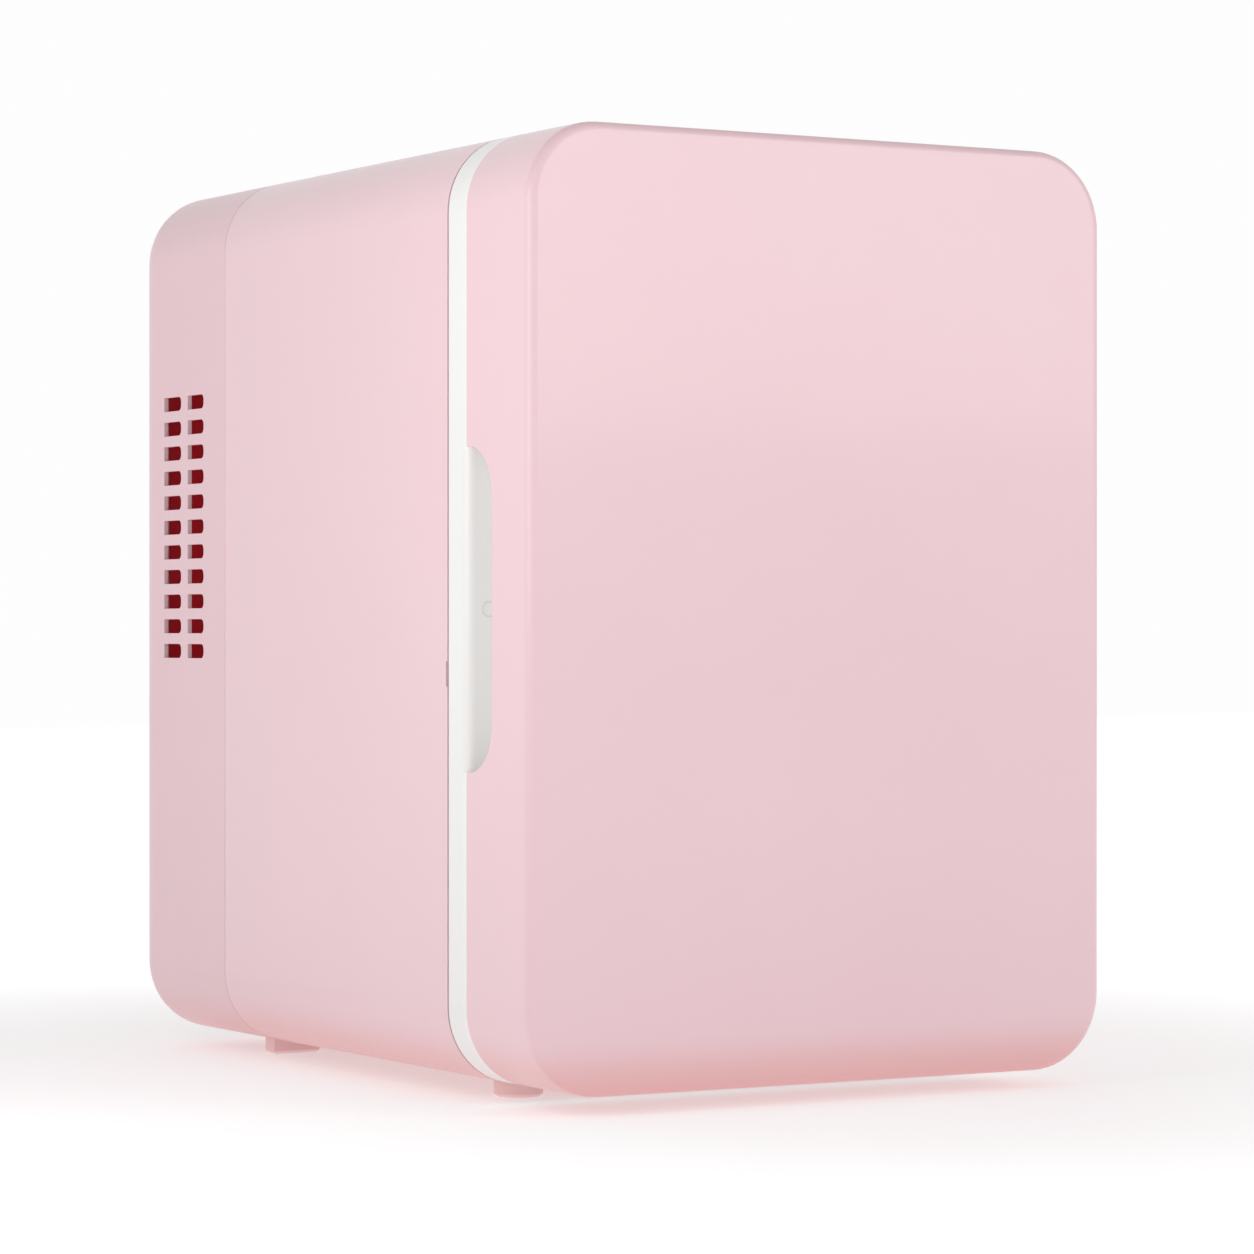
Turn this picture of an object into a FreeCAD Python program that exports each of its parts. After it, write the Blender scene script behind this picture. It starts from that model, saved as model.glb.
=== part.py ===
"""Thermoelectric mini fridge, built as an assembly of separate pieces.

The frame is +Z up, the door faces -Y and the origin is on the floor under the middle of the fridge.
Every size that can be set by itself is a cell of the sheet "Sizes"; PLACES holds what follows from them.
"""
import FreeCAD, Part
import math
import os
import re

import Sketcher

# ---------------------------------------------------------------- driving sizes, in millimetres
SIZES = {
    # the whole cabinet
    "width": 176, "depth": 240, "body_height": 246, "foot_height": 5, "corner_radius": 20.5,
    "wall": 2.5, "fit": 0.2, "running_gap": 0.5, "seam_bevel": 0.4, "cut_past": 1, "cut_slip": 0.01,
    # the door
    "cap_depth": 33, "rim_depth": 9.7, "door_gap": 0.8, "cap_edge_round": 2.5, "rim_band": 18,
    "liner_skin": 2.2, "plug_height": 6, "plug_margin": 4.5, "gasket_inset": 10, "gasket_width": 6,
    "gasket_groove": 2, "gasket_squeeze_gap": 0.15, "grip_front": 19.4, "grip_height": 83.5,
    "grip_radius": 12.5, "grip_depth": 9, "grip_round": 4, "cup_wall": 1.6, "strip_round": 2.4,
    "magnet_height": 60, "magnet_width": 8, "magnet_thickness": 3, "magnet_skin": 0.8,
    "strike_thickness": 1, "thumb_notch_height": 6.5, "thumb_notch_depth": 0.8, "thumb_notch_drop": 16.5,
    # the door hinge
    "hinge_inset": 4, "hinge_lead": 8, "lug_radius": 3.5, "lug_height": 12, "lug_from_end": 42,
    "notch_forward": 6.4, "hinge_pin_diameter": 2.5, "hinge_pin_bite": 7, "hinge_relief": 2.4,
    "hinge_box_wall": 1.8, "bore_play": 0.3,
    # the cabinet inside
    "cover_depth": 60.7, "cover_edge_round": 10, "cover_step": 3, "frame_depth": 6, "insulation": 18,
    "liner_wall": 1.8, "bulkhead_set": 2.7, "cavity_radius": 9, "back_insulation": 16.2,
    "bulkhead_thickness": 2,
    # shelf and basket
    "rib_reach": 3, "rib_height": 2, "rib_setback": 4, "shelf_rise": 6, "shelf_margin": 12,
    "shelf_thickness": 2.5, "shelf_play": 0.4, "rib_pitch": 48, "shelf_setback": 14,
    "shelf_back_gap": 2, "shelf_slot_width": 5, "shelf_slot_pitch": 11, "shelf_slot_count": 9,
    "shelf_lip": 7, "basket_width": 100, "basket_height": 42, "basket_reach": 24, "basket_wall": 1.6,
    "basket_lift": 21, "hook_width": 12, "hook_thickness": 1.2, "hook_drop": 7, "hook_spacing": 60,
    "bracket_height": 8, "bracket_margin": 2, "bracket_drop": 1, "basket_round": 5, "window_width": 6,
    "window_pitch": 12, "window_count": 7, "window_height": 18.9,
    # the cooling train
    "vent_rise": 24.7, "cold_plate_margin": 16, "cold_plate_thickness": 1.5, "block_size": 42,
    "module_size": 40, "module_thickness": 3.8, "module_seal_size": 62, "module_seal_gap": 1,
    "sink_width": 112, "sink_height": 120, "sink_base": 5, "fin_depth": 20, "fin_thickness": 1.4,
    "fin_pitch": 6.5, "fin_count": 15, "sink_screw_inset": 4.5, "fan_size": 80, "fan_depth": 15,
    "fan_bore": 76, "fan_gap": 0.6, "fan_hole_spacing": 71.5, "fan_hub": 30, "fan_blade_clearance": 1,
    "fan_blade_thickness": 1.6, "fan_blade_count": 7, "fan_shaft": 3, "fan_strut": 4, "fan_mount": 2.4,
    "fan_corner": 4, "fan_screw_reach": 6, "fan_lean": 5, "fan_root": 2, "fan_tip_gap": 1.6,
    # vents in the rear cover
    "vent_height": 4.1, "vent_pitch": 7.2, "vent_rows": 11, "vent_near_set": 14.5,
    "vent_near_length": 11, "vent_far_set": 30.1, "vent_far_length": 11.9, "vent_round": 1.6,
    "vent_wall": 1.3, "vent_relief": 3, "grille_slot_length": 17, "grille_slot_height": 3.2,
    "grille_round": 1.2, "grille_columns": 4, "grille_column_pitch": 21, "grille_pitch": 6.4,
    "grille_rows": 13,
    # rear cover bosses and screws
    "boss_inset": 22, "boss_diameter": 11, "boss_bore": 8, "boss_seat": 4, "screw_diameter": 3,
    "screw_head": 6, "screw_head_height": 2.2, "nut_boss_depth": 6, "screw_tip_gap": 1,
    "nut_boss_diameter": 9,
    # the panel with the sockets and the switch
    "panel_rise": 32, "panel_width": 108, "panel_height": 32, "panel_thickness": 3, "panel_lap": 3,
    "panel_recess": 3, "panel_corner": 4, "flange_corner": 3, "pin_short": 1.5, "socket_depth": 16,
    "mains_width": 22, "mains_height": 13, "mains_offset": 34, "flange_lap": 2, "flange_thickness": 1.5,
    "mains_pin_spacing": 7.6, "mains_lobe": 8.6, "mains_well": 11, "mains_pin_diameter": 2.3,
    "dc_body": 11, "dc_offset": 4, "dc_bore": 6.4, "dc_pin_diameter": 2.1, "switch_width": 22,
    "switch_height": 13, "switch_offset": 33, "rocker_length": 16.6, "rocker_width": 8.8,
    "rocker_proud": 2.2, "rocker_deep": 3, "rocker_axle": 2, "lamp_diameter": 4,
    "lamp_spacing": 12, "lamp_gap": 5, "lamp_reach": 4, "lamp_proud": 1.2, "lamp_round": 1,
    "rocker_taper": 0.55, "rocker_shoulder": 0.3, "rocker_dip": 0.77, "trunnion": 1.3,
    "trunnion_play": 0.3,
    # the power board
    "board_width": 96, "board_headroom": 15.7, "board_thickness": 1.6, "board_gap": 6, "board_rise": 14,
    "spacer_diameter": 6, "transformer_width": 30, "transformer_height": 26, "transformer_depth": 20,
    "capacitor_diameter": 12, "capacitor_length": 20, "lead_diameter": 2.4, "transformer_offset": 12,
    "transformer_round": 2, "capacitor_offset": 10.7, "capacitor_gap": 3, "capacitor_drop": 11.6,
    # the leads' routes inside the rear cover
    "lead_bend": 0.45, "module_lead_across": 12, "module_lead_dip": 4, "module_lead_end": 20,
    "module_lead_hover": 6, "module_lead_over": 2, "module_lead_rise": 10, "fan_lead_start": 1,
    "fan_lead_inset": 4, "fan_lead_drop": 30, "fan_lead_out": 12, "fan_lead_ease": 2, "fan_lead_fall": 4,
    "fan_lead_bow": 14, "fan_lead_bow_inset": 10, "fan_lead_bow_drop": 62, "fan_lead_land": 14,
    "mains_lead_run": 8, "mains_lead_shift": 4, "mains_lead_hover": 8, "mains_lead_rise": 4,
    # feet
    "front_foot_diameter": 13, "foot_inset": 28, "front_foot_back": 56.5, "rear_foot_width": 14.5,
    "rear_foot_depth": 6, "rear_foot_set": 47, "foot_chamfer": 0.8,
    # the carrying handle, folded flat into the top
    "well_length": 124, "well_width": 46, "well_depth": 11, "well_wall": 2, "handle_thickness": 7.2,
    "handle_bar": 9, "handle_reach": 29, "handle_sink": 0.4, "handle_pivot_back": 5.2, "handle_pin": 4,
    "handle_gap": 0.6, "handle_round": 7.2, "handle_open": 5,
}

# ---------------------------------------------------------------- places that follow from the sizes
PLACES = {
    "side": "width / 2", "front": "-depth / 2", "back": "depth / 2", "floor": "foot_height",
    "top": "foot_height + body_height", "middle": "foot_height + body_height / 2",
    "cap_back": "front + cap_depth", "rim_back": "cap_back + rim_depth", "shell_front": "rim_back + door_gap",
    "seam": "back - cover_depth", "vent_near": "seam + vent_near_set", "vent_far": "seam + vent_far_set",
    "boss_across": "side - boss_inset", "boss_up": "body_height / 2 - boss_inset",
    "foot_across": "side - foot_inset",
    "inner_width": "width - 2 * wall", "inner_height": "body_height - 2 * wall",
    "inner_radius": "corner_radius - wall",
    "hinge_x": "side - hinge_inset", "hinge_y": "shell_front - hinge_lead",
    "notch_half": "lug_height / 2 + running_gap", "notch_left": "hinge_x - lug_radius - running_gap",
    "notch_front": "hinge_y - notch_forward",
    "frame_back": "shell_front + frame_depth",
    "cavity_width": "inner_width - 2 * insulation - 2 * liner_wall",
    "cavity_height": "inner_height - 2 * insulation - 2 * liner_wall",
    "cavity_back": "liner_back - liner_wall", "cavity_floor": "middle - cavity_height / 2",
    "liner_back": "bulkhead_front - back_insulation", "bulkhead_front": "seam + bulkhead_set",
    "bulkhead_back": "bulkhead_front + bulkhead_thickness",
    "gasket_width_out": "width - 2 * gasket_inset", "gasket_height_out": "body_height - 2 * gasket_inset",
    "plug_back": "rim_back + plug_height", "grip_y": "front + grip_front",
    "cup_left": "-side + wall + fit", "cup_floor": "-side + grip_depth",
    "strike_x": "-(inner_width + cavity_width) / 4",
    "shelf_z": "middle + shelf_rise", "shelf_front": "shell_front + shelf_setback",
    "shelf_back": "cavity_back - cold_plate_thickness - shelf_back_gap",
    "basket_back": "plug_back + hook_thickness * 3 + running_gap * 2",
    "basket_floor": "cavity_floor + basket_lift",
    "cold_plate_width": "cavity_width - 2 * cold_plate_margin",
    "cold_plate_height": "cavity_height - 2 * vent_rise - 2 * cold_plate_margin",
    "vent_z": "middle + vent_rise", "module_back": "bulkhead_back + module_thickness",
    "sink_base_back": "module_back + sink_base", "fin_back": "sink_base_back + fin_depth",
    "fan_front": "fin_back + fan_gap", "fan_back": "fan_front + fan_depth",
    "cover_face": "back - wall", "panel_z": "floor + panel_rise",
    "panel_face": "cover_face - panel_recess", "panel_front": "panel_face - panel_thickness",
    "socket_front": "panel_face - socket_depth", "socket_face": "panel_face + flange_thickness",
    "board_front": "bulkhead_back + board_gap", "board_back": "board_front + board_thickness",
    "board_height": "vent_z - sink_height / 2 - floor - board_rise - board_headroom",
    "board_z": "floor + board_rise + board_height / 2",
    "well_floor": "top - well_depth + well_wall", "pivot_z": "top - handle_sink - handle_thickness / 2",
    "pivot_y": "well_width / 2 - well_wall - handle_pivot_back",
    "handle_half": "well_length / 2 - well_wall - handle_gap",
}

doc = FreeCAD.newDocument("MiniFridge")
sheet = doc.addObject("Spreadsheet::Sheet", "Sizes")
for row, (alias, number) in enumerate(SIZES.items(), start=1):
    sheet.set("A%d" % row, alias.replace("_", " "))
    sheet.set("B%d" % row, str(number))
    sheet.setAlias("B%d" % row, alias)
doc.recompute()

pieces = []


# ---------------------------------------------------------------- formulas
def formula(text):
    """Write a formula of sizes and places as an expression on the sheet."""
    def swap(found):
        name = found.group(0)
        if name in PLACES:
            return "(" + formula(PLACES[name]) + ")"
        return "Sizes." + name if name in SIZES else name
    return re.sub(r"[a-z][a-z_]*", swap, str(text))


def value(text):
    """The number that a formula gives now."""
    return float(sheet.evalExpression(formula(text)))


# ---------------------------------------------------------------- sketches
FACE_AXES = {"XY": ("x", "y", "z", 1), "XZ": ("x", "z", "y", -1), "YZ": ("y", "z", "x", 1)}


def line(start, end):
    return Part.LineSegment(FreeCAD.Vector(start[0], start[1], 0), FreeCAD.Vector(end[0], end[1], 0))


def bind(sketch, constraint, text):
    """Add one dimension to a sketch and tie it to a formula."""
    index = sketch.addConstraint(constraint)
    sketch.setExpression("Constraints[%d]" % index, formula(text))


def rectangle(wide, high, across=0, up=0):
    """A rectangle about (across, up), its four corners dimensioned from the sketch's origin."""
    def draw(sketch):
        a, b, w, t = value(across), value(up), value(wide) / 2, value(high) / 2
        corners = [(a - w, b - t), (a + w, b - t), (a + w, b + t), (a - w, b + t)]
        first = sketch.GeometryCount
        sketch.addGeometry([line(corners[i], corners[(i + 1) % 4]) for i in range(4)], False)
        for i in range(4):
            sketch.addConstraint(Sketcher.Constraint("Coincident", first + i, 2, first + (i + 1) % 4, 1))
        for i, kind in enumerate(("Horizontal", "Vertical", "Horizontal", "Vertical")):
            sketch.addConstraint(Sketcher.Constraint(kind, first + i))
        bind(sketch, Sketcher.Constraint("DistanceX", first, 1, first, 2, 2 * w), wide)
        bind(sketch, Sketcher.Constraint("DistanceY", first + 1, 1, first + 1, 2, 2 * t), high)
        bind(sketch, Sketcher.Constraint("DistanceX", -1, 1, first, 1, a - w), f"({across}) - ({wide}) / 2")
        bind(sketch, Sketcher.Constraint("DistanceY", -1, 1, first, 1, b - t), f"({up}) - ({high}) / 2")
    return [draw]


def rounded(wide, high, radius, across=0, up=0):
    """A rectangle with four equal round corners about (across, up)."""
    def draw(sketch):
        a, b, w, t, r = value(across), value(up), value(wide) / 2, value(high) / 2, value(radius)
        first = sketch.GeometryCount
        sketch.addGeometry([line((a - w + r, b - t), (a + w - r, b - t)),
                            line((a + w, b - t + r), (a + w, b + t - r)),
                            line((a + w - r, b + t), (a - w + r, b + t)),
                            line((a - w, b + t - r), (a - w, b - t + r))],
                           False)
        for turn, (x, y) in enumerate(((w - r, -t + r), (w - r, t - r), (-w + r, t - r), (-w + r, -t + r))):
            circle = Part.Circle(FreeCAD.Vector(a + x, b + y, 0), FreeCAD.Vector(0, 0, 1), r)
            start = math.radians(90 * turn - 90)
            sketch.addGeometry(Part.ArcOfCircle(circle, start, start + math.pi / 2), False)
        for side in range(4):
            arc = first + 4 + side
            sketch.addConstraint(Sketcher.Constraint("Tangent", first + side, 2, arc, 1))
            sketch.addConstraint(Sketcher.Constraint("Tangent", arc, 2, first + (side + 1) % 4, 1))
            kind = "Vertical" if side % 2 else "Horizontal"
            sketch.addConstraint(Sketcher.Constraint(kind, first + side))
            if side:
                sketch.addConstraint(Sketcher.Constraint("Equal", first + 4, arc))
        bind(sketch, Sketcher.Constraint("Radius", first + 4, r), radius)
        bind(sketch, Sketcher.Constraint("DistanceX", first + 3, 1, first + 1, 1, 2 * w), wide)
        bind(sketch, Sketcher.Constraint("DistanceY", first, 1, first + 2, 1, 2 * t), high)
        bind(sketch, Sketcher.Constraint("DistanceX", -1, 1, first + 3, 1, a - w),
             f"({across}) - ({wide}) / 2")
        bind(sketch, Sketcher.Constraint("DistanceY", -1, 1, first, 1, b - t), f"({up}) - ({high}) / 2")
    return [draw]


def dee(deep, high, radius):
    """A rectangle whose two corners at the sketch's origin side are round, centred on the sketch's X axis."""
    def draw(sketch):
        w, t, r = value(deep), value(high) / 2, value(radius)
        sketch.addGeometry([line((r, -t), (w, -t)), line((w, -t), (w, t)), line((w, t), (r, t)),
                            line((0, t - r), (0, -t + r))], False)
        for up, start in ((t - r, math.pi / 2), (-t + r, math.pi)):
            circle = Part.Circle(FreeCAD.Vector(r, up, 0), FreeCAD.Vector(0, 0, 1), r)
            sketch.addGeometry(Part.ArcOfCircle(circle, start, start + math.pi / 2), False)
        for one, other in ((0, 1), (1, 2)):
            sketch.addConstraint(Sketcher.Constraint("Coincident", one, 2, other, 1))
        for one, other in ((2, 4), (4, 3), (3, 5), (5, 0)):
            sketch.addConstraint(Sketcher.Constraint("Tangent", one, 2, other, 1))
        for side, kind in ((0, "Horizontal"), (2, "Horizontal"), (3, "Vertical")):
            sketch.addConstraint(Sketcher.Constraint(kind, side))
        sketch.addConstraint(Sketcher.Constraint("Equal", 4, 5))
        sketch.addConstraint(Sketcher.Constraint("Symmetric", 1, 1, 1, 2, -1))
        sketch.addConstraint(Sketcher.Constraint("PointOnObject", 3, 1, -2))
        bind(sketch, Sketcher.Constraint("Radius", 4, r), radius)
        bind(sketch, Sketcher.Constraint("DistanceX", -1, 1, 1, 1, w), deep)
        bind(sketch, Sketcher.Constraint("DistanceY", 1, 1, 1, 2, 2 * t), high)
    return [draw]


def corner_round(radius):
    """What is taken off a square corner at the sketch's origin to leave it round, in the +X +Y quarter."""
    def draw(sketch):
        r = value(radius)
        circle = Part.Circle(FreeCAD.Vector(r, r, 0), FreeCAD.Vector(0, 0, 1), r)
        sketch.addGeometry([line((0, 0), (0, r)), line((r, 0), (0, 0))], False)
        sketch.addGeometry(Part.ArcOfCircle(circle, math.pi, 1.5 * math.pi), False)
        sketch.addConstraint(Sketcher.Constraint("Coincident", 0, 1, -1, 1))
        sketch.addConstraint(Sketcher.Constraint("Coincident", 1, 2, -1, 1))
        sketch.addConstraint(Sketcher.Constraint("Coincident", 0, 2, 2, 1))
        sketch.addConstraint(Sketcher.Constraint("Coincident", 1, 1, 2, 2))
        sketch.addConstraint(Sketcher.Constraint("Vertical", 0))
        sketch.addConstraint(Sketcher.Constraint("Horizontal", 1))
        bind(sketch, Sketcher.Constraint("DistanceX", -1, 1, 2, 3, r), radius)
        bind(sketch, Sketcher.Constraint("DistanceX", -1, 1, 1, 1, r), radius)
        bind(sketch, Sketcher.Constraint("DistanceY", -1, 1, 0, 2, r), radius)
    return [draw]


def disc(diameter, across=0, up=0):
    """A circle centred at (across, up)."""
    def draw(sketch):
        centre = FreeCAD.Vector(value(across), value(up), 0)
        index = sketch.addGeometry(Part.Circle(centre, FreeCAD.Vector(0, 0, 1), value(diameter) / 2), False)
        bind(sketch, Sketcher.Constraint("Diameter", index, value(diameter)), diameter)
        bind(sketch, Sketcher.Constraint("DistanceX", -1, 1, index, 3, centre.x), across)
        bind(sketch, Sketcher.Constraint("DistanceY", -1, 1, index, 3, centre.y), up)
    return [draw]


def outline(*points):
    """A closed outline of straight lines through points given as pairs of formulas."""
    def draw(sketch):
        spots = [(value(a), value(b)) for a, b in points]
        count = len(spots)
        sketch.addGeometry([line(spots[i], spots[(i + 1) % count]) for i in range(count)], False)
        for i in range(count):
            sketch.addConstraint(Sketcher.Constraint("Coincident", i, 2, (i + 1) % count, 1))
        for i, (a, b) in enumerate(points):
            bind(sketch, Sketcher.Constraint("DistanceX", -1, 1, i, 1, spots[i][0]), a)
            bind(sketch, Sketcher.Constraint("DistanceY", -1, 1, i, 1, spots[i][1]), b)
    return [draw]


# ---------------------------------------------------------------- pieces made of sketched features
class Piece:
    """One moulded, pressed or machined piece: a body of pads, pockets, patterns and edge breaks."""

    def __init__(self, label):
        self.body = doc.addObject("PartDesign::Body", label)
        self.body.Label = label
        self.count = 0
        pieces.append(self.body)

    def named(self, kind):
        self.count += 1
        return "%s_%s%d" % (self.body.Label, kind, self.count)

    def origin(self, role):
        return [item for item in self.body.Origin.OriginFeatures if item.Role == role][0]

    def sketch(self, face, shape, centre, start):
        sketch = self.body.newObject("Sketcher::SketchObject", self.named("sketch"))
        sketch.AttachmentSupport = [(self.origin(face + "_Plane"), "")]
        sketch.MapMode = "FlatFace"
        sign = FACE_AXES[face][3]
        for axis, text in zip("xyz", (centre[0], centre[1], f"({start}) * {sign}")):
            sketch.setExpression("AttachmentOffset.Base." + axis, formula(text))
        for draw in shape:
            draw(sketch)
        return sketch

    def add(self, face, shape, centre, span):
        """Pad a shape from span[0] up to span[1] along the axis that the face looks along."""
        before = self.body.Shape.Volume if self.body.Tip else 0
        pad_name = self.named("pad")
        sketch = self.sketch(face, shape, centre, span[0])
        pad = self.body.newObject("PartDesign::Pad", pad_name)
        pad.Profile = sketch
        pad.setExpression("Length", formula(f"({span[1]}) - ({span[0]})"))
        pad.Reversed = face == "XZ"
        doc.recompute()
        if not self.body.Shape.Volume > before + 1e-6:
            raise RuntimeError(pad_name + " adds nothing")
        return pad

    def cut(self, face, shape, centre, span):
        """Pocket a shape from span[0] up to span[1]; it always has to take something away."""
        before = self.body.Shape.Volume
        pocket_name = self.named("pocket")
        sketch = self.sketch(face, shape, centre, span[0])
        pocket = self.body.newObject("PartDesign::Pocket", pocket_name)
        pocket.Profile = sketch
        pocket.setExpression("Length", formula(f"({span[1]}) - ({span[0]})"))
        pocket.Reversed = face != "XZ"
        doc.recompute()
        if not self.body.Shape.Volume < before - 1e-6:
            raise RuntimeError(pocket_name + " cuts nothing")
        return pocket

    def edges(self, test):
        return ["Edge%d" % (i + 1) for i, edge in enumerate(self.body.Tip.Shape.Edges) if test(edge.BoundBox)]

    def soften(self, kind, size, test):
        """Fillet or chamfer the edges whose box passes the test."""
        names = self.edges(test)
        if not names:
            raise RuntimeError(self.body.Label + ": no edge to " + kind)
        base = self.body.Tip
        feature = self.body.newObject("PartDesign::" + kind, self.named(kind.lower()))
        feature.Base = (base, names)
        feature.setExpression("Radius" if kind == "Fillet" else "Size", formula(size))
        doc.recompute()
        if "Invalid" in feature.State:
            raise RuntimeError(feature.Name + " fails")
        return feature

    def repeat(self, feature, axis, step, count):
        pattern = self.body.newObject("PartDesign::LinearPattern", self.named("row"))
        pattern.Originals = [feature]
        pattern.Direction = (self.origin(axis + "_Axis"), [""])
        pattern.setExpression("Length", formula(f"({step}) * (({count}) - 1)"))
        pattern.setExpression("Occurrences", formula(count))
        self.body.Tip = pattern
        doc.recompute()
        return pattern

    def spin(self, feature, count):
        pattern = self.body.newObject("PartDesign::PolarPattern", self.named("ring"))
        pattern.Originals = [feature]
        pattern.Axis = (self.body.Group[0], ["N_Axis"])
        pattern.Angle = 360
        pattern.setExpression("Occurrences", formula(count))
        self.body.Tip = pattern
        doc.recompute()
        return pattern


def flat_at(axis, text):
    """A test for edges that lie in the plane where this axis has this value."""
    at = value(text)
    low, high = axis.upper() + "Min", axis.upper() + "Max"
    return lambda box: abs(getattr(box, low) - at) < 1e-4 and abs(getattr(box, high) - at) < 1e-4


def both(*tests):
    return lambda box: all(test(box) for test in tests)


def runs_along(axis):
    """A test for edges that run along one axis only."""
    others = [other for other in "XYZ" if other != axis]
    return lambda box: (getattr(box, axis + "Length") > 1e-3
                        and all(getattr(box, other + "Length") < 1e-4 for other in others))


# ---------------------------------------------------------------- round pieces and groups
TURNS = {"x": (FreeCAD.Vector(0, 1, 0), 90), "y": (FreeCAD.Vector(1, 0, 0), -90),
         "z": (FreeCAD.Vector(0, 0, 1), 0)}


def place(item, along, spot):
    """Turn an object from +Z to an axis and tie its place to three formulas."""
    axis, angle = TURNS[along]
    item.Placement = FreeCAD.Placement(FreeCAD.Vector(0, 0, 0), FreeCAD.Rotation(axis, angle))
    for letter, text in zip("xyz", spot):
        item.setExpression("Placement.Base." + letter, "(" + formula(text) + ") * 1 mm")


def rod(name, along, spot, diameter, length):
    """A plain cylinder that starts at a spot and runs along an axis."""
    item = doc.addObject("Part::Cylinder", name)
    item.setExpression("Radius", formula(f"({diameter}) / 2"))
    item.setExpression("Height", formula(length))
    place(item, along, spot)
    return item


def keep(item, label):
    item.Label = label
    pieces.append(item)
    return item


def group(label, items):
    """Several like solids that share one node."""
    item = doc.addObject("Part::Compound", label)
    item.Links = items
    return keep(item, label)


def screw(name, spot, length):
    """A pan head screw driven forwards: its head ends at the spot's y, its shank runs on towards -Y."""
    x, y, z = spot
    shank = rod(name + "_shank", "y", (x, f"({y}) - ({length})", z), "screw_diameter", length)
    head = rod(name + "_head", "y", spot, "screw_head", "screw_head_height")
    item = doc.addObject("Part::MultiFuse", name)
    item.Shapes = [shank, head]
    return item


def four(label, across, up, middle, y, length):
    """Four screws at the corners of a rectangle."""
    spots = [(f"{a} * ({across})", y, f"({middle}) + {b} * ({up})") for a in (-1, 1) for b in (-1, 1)]
    return group(label, [screw("%s_%d" % (label, i), spot, length) for i, spot in enumerate(spots)])


# ---------------------------------------------------------------- the cabinet
def outer_shell():
    piece = Piece("outer_shell")
    piece.add("XZ", rounded("width", "body_height", "corner_radius"), (0, "middle"), ("shell_front", "seam"))
    piece.soften("Chamfer", "seam_bevel", flat_at("y", "seam"))
    piece.cut("XZ", rounded("inner_width", "inner_height", "inner_radius"), (0, "middle"),
              ("shell_front", "seam"))
    piece.cut("XY", rectangle("well_length + 2 * fit", "well_width + 2 * fit"), (0, 0),
              ("top - 2 * wall", "top"))
    piece.cut("YZ", rectangle("thumb_notch_depth", "thumb_notch_height", "thumb_notch_depth / 2"),
              ("shell_front", "middle - thumb_notch_drop"), ("-side", "-side + wall"))


def front_frame():
    piece = Piece("front_frame")
    piece.add("XZ", rounded("inner_width - 2 * fit", "inner_height - 2 * fit", "inner_radius - fit"),
              (0, "middle"), ("shell_front", "frame_back"))
    piece.cut("XZ", rounded("cavity_width", "cavity_height", "cavity_radius"), (0, "middle"),
              ("shell_front", "frame_back"))
    piece.cut("XZ", rectangle("magnet_width + 2 * fit", "magnet_height + 2 * fit"), ("strike_x", "middle"),
              ("shell_front", "shell_front + strike_thickness"))
    arm = "inner_width / 2 - fit - hinge_x + lug_radius"
    for end in (-1, 1):
        z = f"middle + {end} * (body_height / 2 - lug_from_end)"
        span = (f"{z} - lug_height / 2", f"{z} + lug_height / 2")
        piece.add("XY",
                 rectangle(arm, "hinge_lead + running_gap", f"({arm}) / 2", "(hinge_lead + running_gap) / 2"),
                  ("hinge_x - lug_radius", "hinge_y"), span)
        piece.add("XY", disc("2 * lug_radius"), ("hinge_x", "hinge_y"), span)
        piece.cut("XY", disc("hinge_pin_diameter"), ("hinge_x", "hinge_y"), span)


def inner_liner():
    piece = Piece("inner_liner")
    piece.add("XZ", rounded("cavity_width + 2 * liner_wall", "cavity_height + 2 * liner_wall",
                            "cavity_radius + liner_wall"), (0, "middle"), ("frame_back", "liner_back"))
    piece.cut("XZ", rounded("cavity_width", "cavity_height", "cavity_radius"), (0, "middle"),
              ("frame_back", "cavity_back"))
    piece.cut("XZ", rectangle("block_size + 2 * fit", "block_size + 2 * fit"), (0, "vent_z"),
              ("cavity_back", "liner_back"))
    reach = "rib_reach + liner_wall / 2"
    for hand in (-1, 1):
        for level in (0, 1):
            for low in ("-shelf_play / 2 - rib_height", "shelf_thickness + shelf_play"):
                z = f"shelf_z + {level} * rib_pitch + {low}"
                piece.add("XZ", rectangle(reach, "rib_height", 0, "rib_height / 2"),
                          (f"{hand} * (cavity_width / 2 - ({reach}) / 2 + liner_wall / 2)", z),
                          ("shelf_front + rib_setback", "shelf_back"))


def cabinet_foam():
    piece = Piece("cabinet_foam")
    piece.add("XZ", rounded("inner_width - 2 * fit", "inner_height - 2 * fit", "inner_radius - fit"),
              (0, "middle"), ("frame_back", "bulkhead_front"))
    piece.cut("XZ", rounded("cavity_width + 2 * liner_wall", "cavity_height + 2 * liner_wall",
                            "cavity_radius + liner_wall"), (0, "middle"), ("frame_back", "liner_back"))
    piece.cut("XZ", rectangle("block_size", "block_size"), (0, "vent_z"), ("liner_back", "bulkhead_front"))
    piece.cut("XY", rectangle("well_length", "well_width"), (0, 0), ("top - well_depth", "top"))
    for a in (-1, 1):
        for b in (-1, 1):
            piece.cut("XZ", disc("nut_boss_diameter + fit"),
                      (f"{a} * boss_across", f"middle + {b} * boss_up"),
                      ("bulkhead_front - nut_boss_depth", "bulkhead_front"))


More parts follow.
